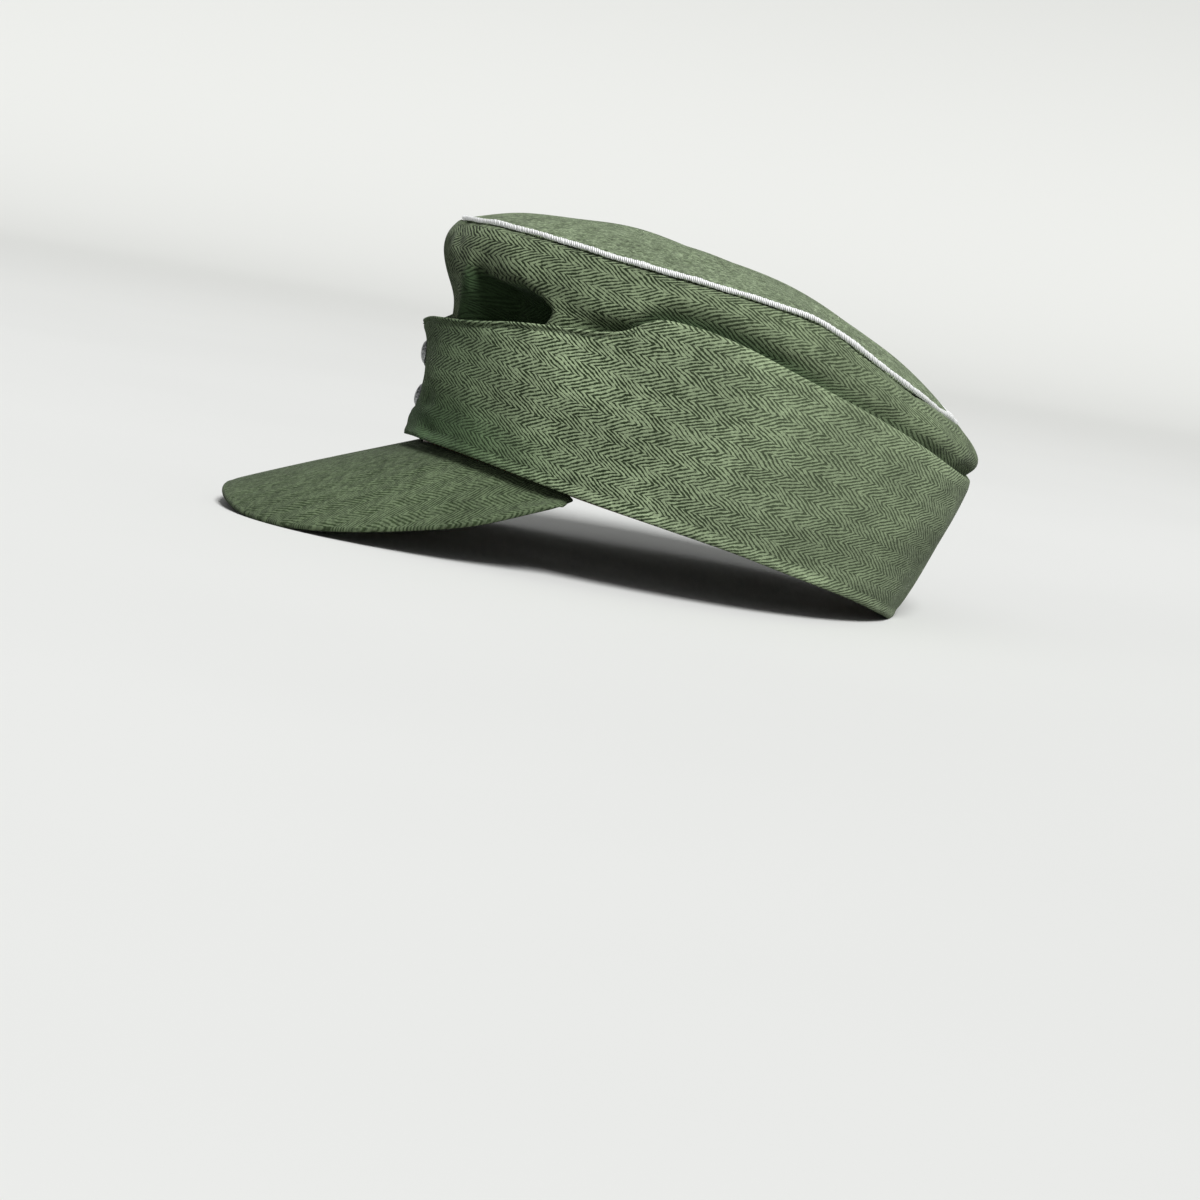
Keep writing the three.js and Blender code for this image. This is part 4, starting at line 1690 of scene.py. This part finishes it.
@dataclass
class Peak:
    """The stiff peak, covered in cloth above and below."""

    shop: Workshop
    columns: int = 150
    upper_rows: int = 34
    edge_rows: int = 6
    end_round: float = 0.04
    swell: float = 0.7

    def loop_rows(self) -> tuple[Array, Array, Array]:
        """Gives the share, the drop and the swell of each row round the peak's section."""
        upper = np.concatenate([[0.0, 0.004], np.linspace(0.012, 1.0, self.upper_rows - 2)])
        bend = np.linspace(0.0, 1.0, self.edge_rows + 2)[1:-1]
        share = np.concatenate([upper, np.ones(self.edge_rows), upper[::-1], upper[:1]])
        drop = np.concatenate([np.zeros(self.upper_rows), bend, np.ones(self.upper_rows), [0.0]])
        out = np.concatenate(
            [np.zeros(self.upper_rows), np.sin(math.pi * bend), np.zeros(self.upper_rows), [0.0]]
        )
        return share, drop, out

    def build(self) -> None:
        """Builds the peak as one sheet wrapped round its board, closed at the seam and the corners."""
        share_rows, drop_rows, out_rows = self.loop_rows()
        sheet = new_sheet("peak_cloth", self.columns, len(share_rows) - 1)
        along, up = sheet_places(sheet)
        across = 2.0 * along - 1.0
        last_row = len(share_rows) - 1
        row = np.clip(np.rint(up * last_row).astype(int), 0, last_row)
        share, drop, out = share_rows[row], drop_rows[row], out_rows[row]
        points = self.shop.form.peak(across, share)
        seam = self.shop.form.peak(across, np.zeros_like(share))
        cut = self.shop.form.peak(across, np.ones_like(share))
        outward = cut - seam
        outward[:, 2] = 0.0
        near_end = np.clip((np.abs(across) - (1.0 - self.end_round)) / self.end_round, 0.0, 1.0)
        thickness = PEAK_THICKNESS * np.sqrt(1.0 - near_end**2)
        edge_round = 0.55 * bell((1.0 - share) * np.linalg.norm(cut - seam, axis=-1), 1.6)
        middle = PEAK_THICKNESS / 2.0
        height = thickness * (0.5 - drop) - edge_round * np.sign(0.5 - drop) * (out == 0.0)
        points = points + unit(outward) * (self.swell * out)[:, None]
        points[:, 2] += height - middle
        move_vertices(sheet, self.shop.rest.metres(points))
        set_weave_map(sheet, points[:, [1, 0]] * MM)
        merge_doubles(sheet)
        turn_faces_out(sheet)
        smooth_once(sheet)
        finish_piece(sheet, (self.shop.finishes.peak_cloth,), ["peak"])


@dataclass
class Sweatband:
    """The leather band inside the rim."""

    shop: Workshop
    columns: int = 260
    rows: int = 14
    height: float = 32.0
    drop: float = 1.0

    def build(self) -> None:
        """Builds the band as one sheet just inside the crown wall."""
        form = self.shop.form
        sheet = new_sheet("sweatband_leather", self.columns, self.rows)
        along, up = sheet_places(sheet)
        angle = 360.0 * along - 180.0
        wall = form.seam(folded(angle)) - form.rim(folded(angle))
        depth = CROWN_THICKNESS + PIECE_GAP
        points = form.offset(form.crown, angle, up * self.height / wall, -depth)
        drop = self.drop * (1.0 - smooth_step(folded(angle), 100.0, 140.0))
        points[:, 2] -= drop * (1.0 - smooth_step(up, 0.0, 0.3))
        move_vertices(sheet, self.shop.rest.metres(points))
        merge_doubles(sheet)
        face_along(sheet, outward_from_axis)
        thicken(sheet, SWEATBAND_THICKNESS)
        finish_piece(sheet, (self.shop.finishes.leather,), ["sweatband"])


@dataclass
class Buttons:
    """Two small domed metal buttons on the front centre line."""

    shop: Workshop
    radius: float = 5.75
    depth: float = 3.4
    sunk: float = 1.5
    heights: tuple[tuple[str, float], ...] = (("button_lower", 17.0), ("button_upper", 34.5))

    def build(self) -> None:
        """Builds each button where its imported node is."""
        for node, height in self.heights:
            self.button(node, height)

    def profile(self, tilt: Array) -> tuple[Array, Array]:
        """Gives the radius and height of the button's outline by the tilt from its front pole.

        Args:
            tilt: 0 at the front pole and pi at the back pole.

        Returns:
            The radius and the height above the cloth, both in mm.
        """
        tilts = (0.0, 0.5, 0.95, 1.25, 1.42, 1.57, 1.75, 2.0, 2.6, math.pi)
        outline = Curve(tilts, (0.0, 0.36, 0.68, 0.86, 0.93, 1.0, 1.0, 0.84, 0.4, 0.0))
        rise = Curve(tilts, (1.0, 0.95, 0.76, 0.5, 0.44, 0.4, 0.2, 0.04, 0.0, 0.0))
        return outline(tilt) * self.radius, rise(tilt) * self.depth

    def button(self, node: str, height: float) -> None:
        """Builds one button from a sphere whose rings are moved to the button's outline.

        Args:
            node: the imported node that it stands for.
            height: its height above the rim, in mm.
        """
        form = self.shop.form
        clear_selection()
        bpy.ops.mesh.primitive_uv_sphere_add(segments=64, ring_count=40, radius=1.0)
        button = bpy.context.object
        button.name = f"{node}_metal"
        ball = vertex_places(button)
        tilt = np.arccos(np.clip(ball[:, 2], -1.0, 1.0))
        around = np.arctan2(ball[:, 1], ball[:, 0])
        radius, rise = self.profile(tilt)
        share = np.array([height / float(form.flap_top(np.array(0.0)))])
        centre_turn = np.array([-360.0])
        seat = form.flap(centre_turn, share)[0]
        outward = form.outward(form.flap, centre_turn, share)[0]
        sideways = np.array([1.0, 0.0, 0.0])
        upward = np.cross(outward, sideways)
        points = seat + np.outer(rise + PIECE_GAP - self.sunk, outward)
        across = np.outer(radius * np.cos(around), sideways)
        upright = np.outer(radius * np.sin(around), upward)
        move_vertices(button, self.shop.rest.metres(points + across + upright))
        turn_faces_out(button)
        finish_piece(button, (self.shop.finishes.metal,), [node])


@dataclass
class Camera:
    """The camera, at the photograph's angle to the cap and above the floor."""

    shop: Workshop
    distance: float = 1200.0
    elevation: float = 4.0
    azimuth: float = 1.5
    pixel_size: float = 0.417
    aim: tuple[float, float, float] = (0.0, 0.0, 50.0)
    aim_pixel: tuple[float, float] = (690.0, 412.0)
    rim_fall: float = 20.6
    picture: float = 1200.0
    sensor: float = 36.0

    def basis(self) -> tuple[Vector, Vector, Vector, Vector]:
        """Works out the camera's place and axes in the level frame.

        Returns:
            Its place, and its right, up and forward directions.
        """
        rise, turn = math.radians(self.elevation), math.radians(self.azimuth)
        back = Vector((math.cos(rise) * math.cos(turn), math.cos(rise) * math.sin(turn), math.sin(rise)))
        place = Vector(self.aim) + back * self.distance
        forward = -back
        right = forward.cross(Vector((0.0, 0.0, 1.0))).normalized()
        up = right.cross(forward)
        roll = math.radians(-self.rim_fall)
        right, up = math.cos(roll) * right - math.sin(roll) * up, math.sin(roll) * right + math.cos(roll) * up
        focal = self.distance / self.pixel_size
        middle = self.picture / 2.0
        seen = Vector((self.aim_pixel[0] - middle, middle - self.aim_pixel[1], focal)).normalized()
        swing = Vector((0.0, 0.0, 1.0)).rotation_difference(seen).to_matrix()
        axes = swing @ Matrix((right, up, forward))
        return place, axes[0], axes[1], axes[2]

    def build(self) -> None:
        """Makes the camera the scene's own."""
        place, right, up, forward = self.basis()
        turned = [Vector(self.shop.rest.turned(np.array(axis))) for axis in (right, up, forward)]
        data = bpy.data.cameras.new("photo_camera")
        data.sensor_width = self.sensor
        data.lens = self.sensor * self.distance / (self.pixel_size * self.picture)
        data.clip_end = 20.0
        camera = bpy.data.objects.new("photo_camera", data)
        bpy.context.scene.collection.objects.link(camera)
        pose = Matrix((turned[0], turned[1], -turned[2])).transposed().to_4x4()
        pose.translation = Vector(self.shop.rest.metres(np.array(place), pressed=False))
        camera.matrix_world = pose
        bpy.context.scene.camera = camera
        LOG.info("camera at %s", tuple(round(value, 3) for value in pose.translation))


@dataclass
class Studio:
    """A plain pale sweep of floor and backdrop, and soft light."""

    width: float = 6.0
    front: float = 3.0
    back: float = 2.2
    tall: float = 3.2
    bend: float = 1.0
    bounce: Colour = rgb(96, 97, 95)
    key_strength: float = 3.0
    sky_dim: float = 0.04
    sky_bright: float = 0.34
    sky_side: tuple[float, float, float] = (0.35, 0.55, 0.76)

    def sweep(self) -> None:
        """Builds floor and backdrop as one sheet that bends up behind the cap."""
        sheet = new_sheet("floor", 8, 60)
        along, up = sheet_places(sheet)
        quarter = self.bend * math.pi / 2.0
        flat = self.front + self.back
        run = up * (flat + quarter + self.tall)
        arc = np.clip((run - flat) / self.bend, 0.0, math.pi / 2.0)
        x = self.front - np.minimum(run, flat) - self.bend * np.sin(arc)
        z = self.bend * (1.0 - np.cos(arc)) + np.maximum(run - flat - quarter, 0.0)
        y = (along - 0.5) * self.width
        move_vertices(sheet, np.stack([x, y, z], axis=-1))
        face_along(sheet, lambda centre: Vector((0.5, 0.0, 1.0)))
        material, nodes, shader = start_material(
            "pale studio paper", {"Roughness": 0.9, "Specular IOR Level": 0.1}
        )
        whole = nodes.add("ShaderNodeTexCoord")
        tone = nodes.spread(nodes.noise(whole.outputs["Object"], 1.5, 3.0), 0.3, 0.7)
        # Painted shade: the paper is darker behind the cap and up the bend, which evens out how the sun
        # lights the sweep.
        sideways = nodes.split(whole.outputs["Object"])[0]
        far = nodes.spread(sideways, -0.4, -2.4)
        near = nodes.mix(tone, rgb(233, 234, 232), rgb(237, 238, 236))
        pale = nodes.mix(far, near, rgb(222, 223, 220))
        path = nodes.add("ShaderNodeLightPath")
        nodes.join(nodes.mix(path.outputs["Is Diffuse Ray"], pale, self.bounce), shader.inputs["Base Color"])
        sheet.data.materials.append(material)
        for polygon in sheet.data.polygons:
            polygon.use_smooth = True

    def sun(self, name: str, azimuth: float, elevation: float, softness: float, strength: float) -> None:
        """Adds a soft sun.

        Args:
            name: the lamp's name.
            azimuth: degrees from the front of the cap, growing towards its left side.
            elevation: degrees above the floor.
            softness: the sun's angular width in degrees.
            strength: its power on a surface that faces it.
        """
        data = bpy.data.lights.new(name, "SUN")
        data.angle = math.radians(softness)
        data.energy = strength
        lamp = bpy.data.objects.new(name, data)
        bpy.context.scene.collection.objects.link(lamp)
        around, rise = math.radians(azimuth), math.radians(elevation)
        level = math.cos(rise)
        towards = Vector((math.sin(around) * level, -math.cos(around) * level, math.sin(rise)))
        lamp.matrix_world = Matrix.Translation(towards) @ towards.to_track_quat("Z", "Y").to_matrix().to_4x4()

    def sky(self) -> None:
        """Makes the sky light, brighter on the sun's side and darker in front of the cap."""
        world = bpy.data.worlds.new("soft_sky")
        world.use_nodes = True
        nodes = NodeTree(world.node_tree)
        place = nodes.add("ShaderNodeTexCoord")
        towards = nodes.add("ShaderNodeVectorMath", operation="DOT_PRODUCT")
        nodes.join(place.outputs["Generated"], towards.inputs[0])
        towards.inputs[1].default_value = self.sky_side
        strength = nodes.spread(towards.outputs["Value"], -0.8, 0.9, self.sky_dim, self.sky_bright)
        background = world.node_tree.nodes["Background"]
        background.inputs["Color"].default_value = (1.0, 1.0, 1.0, 1.0)
        nodes.join(strength, background.inputs["Strength"])
        bpy.context.scene.world = world

    def build(self) -> None:
        """Builds the sweep, the sun and the sky light, and takes colours as they are."""
        self.sweep()
        self.sun("key_light", 117.0, 50.0, 24.0, self.key_strength)
        self.sky()
        bpy.context.scene.view_settings.view_transform = "Standard"


def main() -> None:
    """Builds the camera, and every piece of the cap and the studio."""
    logging.basicConfig(level=logging.INFO, format="%(relativeCreated)d ms %(name)s: %(message)s")
    form = CapForm()
    shop = Workshop(form, RestPlace(form), Finishes())
    Camera(shop).build()
    Crown(shop).build()
    Flap(shop).build()
    Peak(shop).build()
    Sweatband(shop).build()
    Buttons(shop).build()
    Studio().build()


if __name__ == "__main__":
    main()
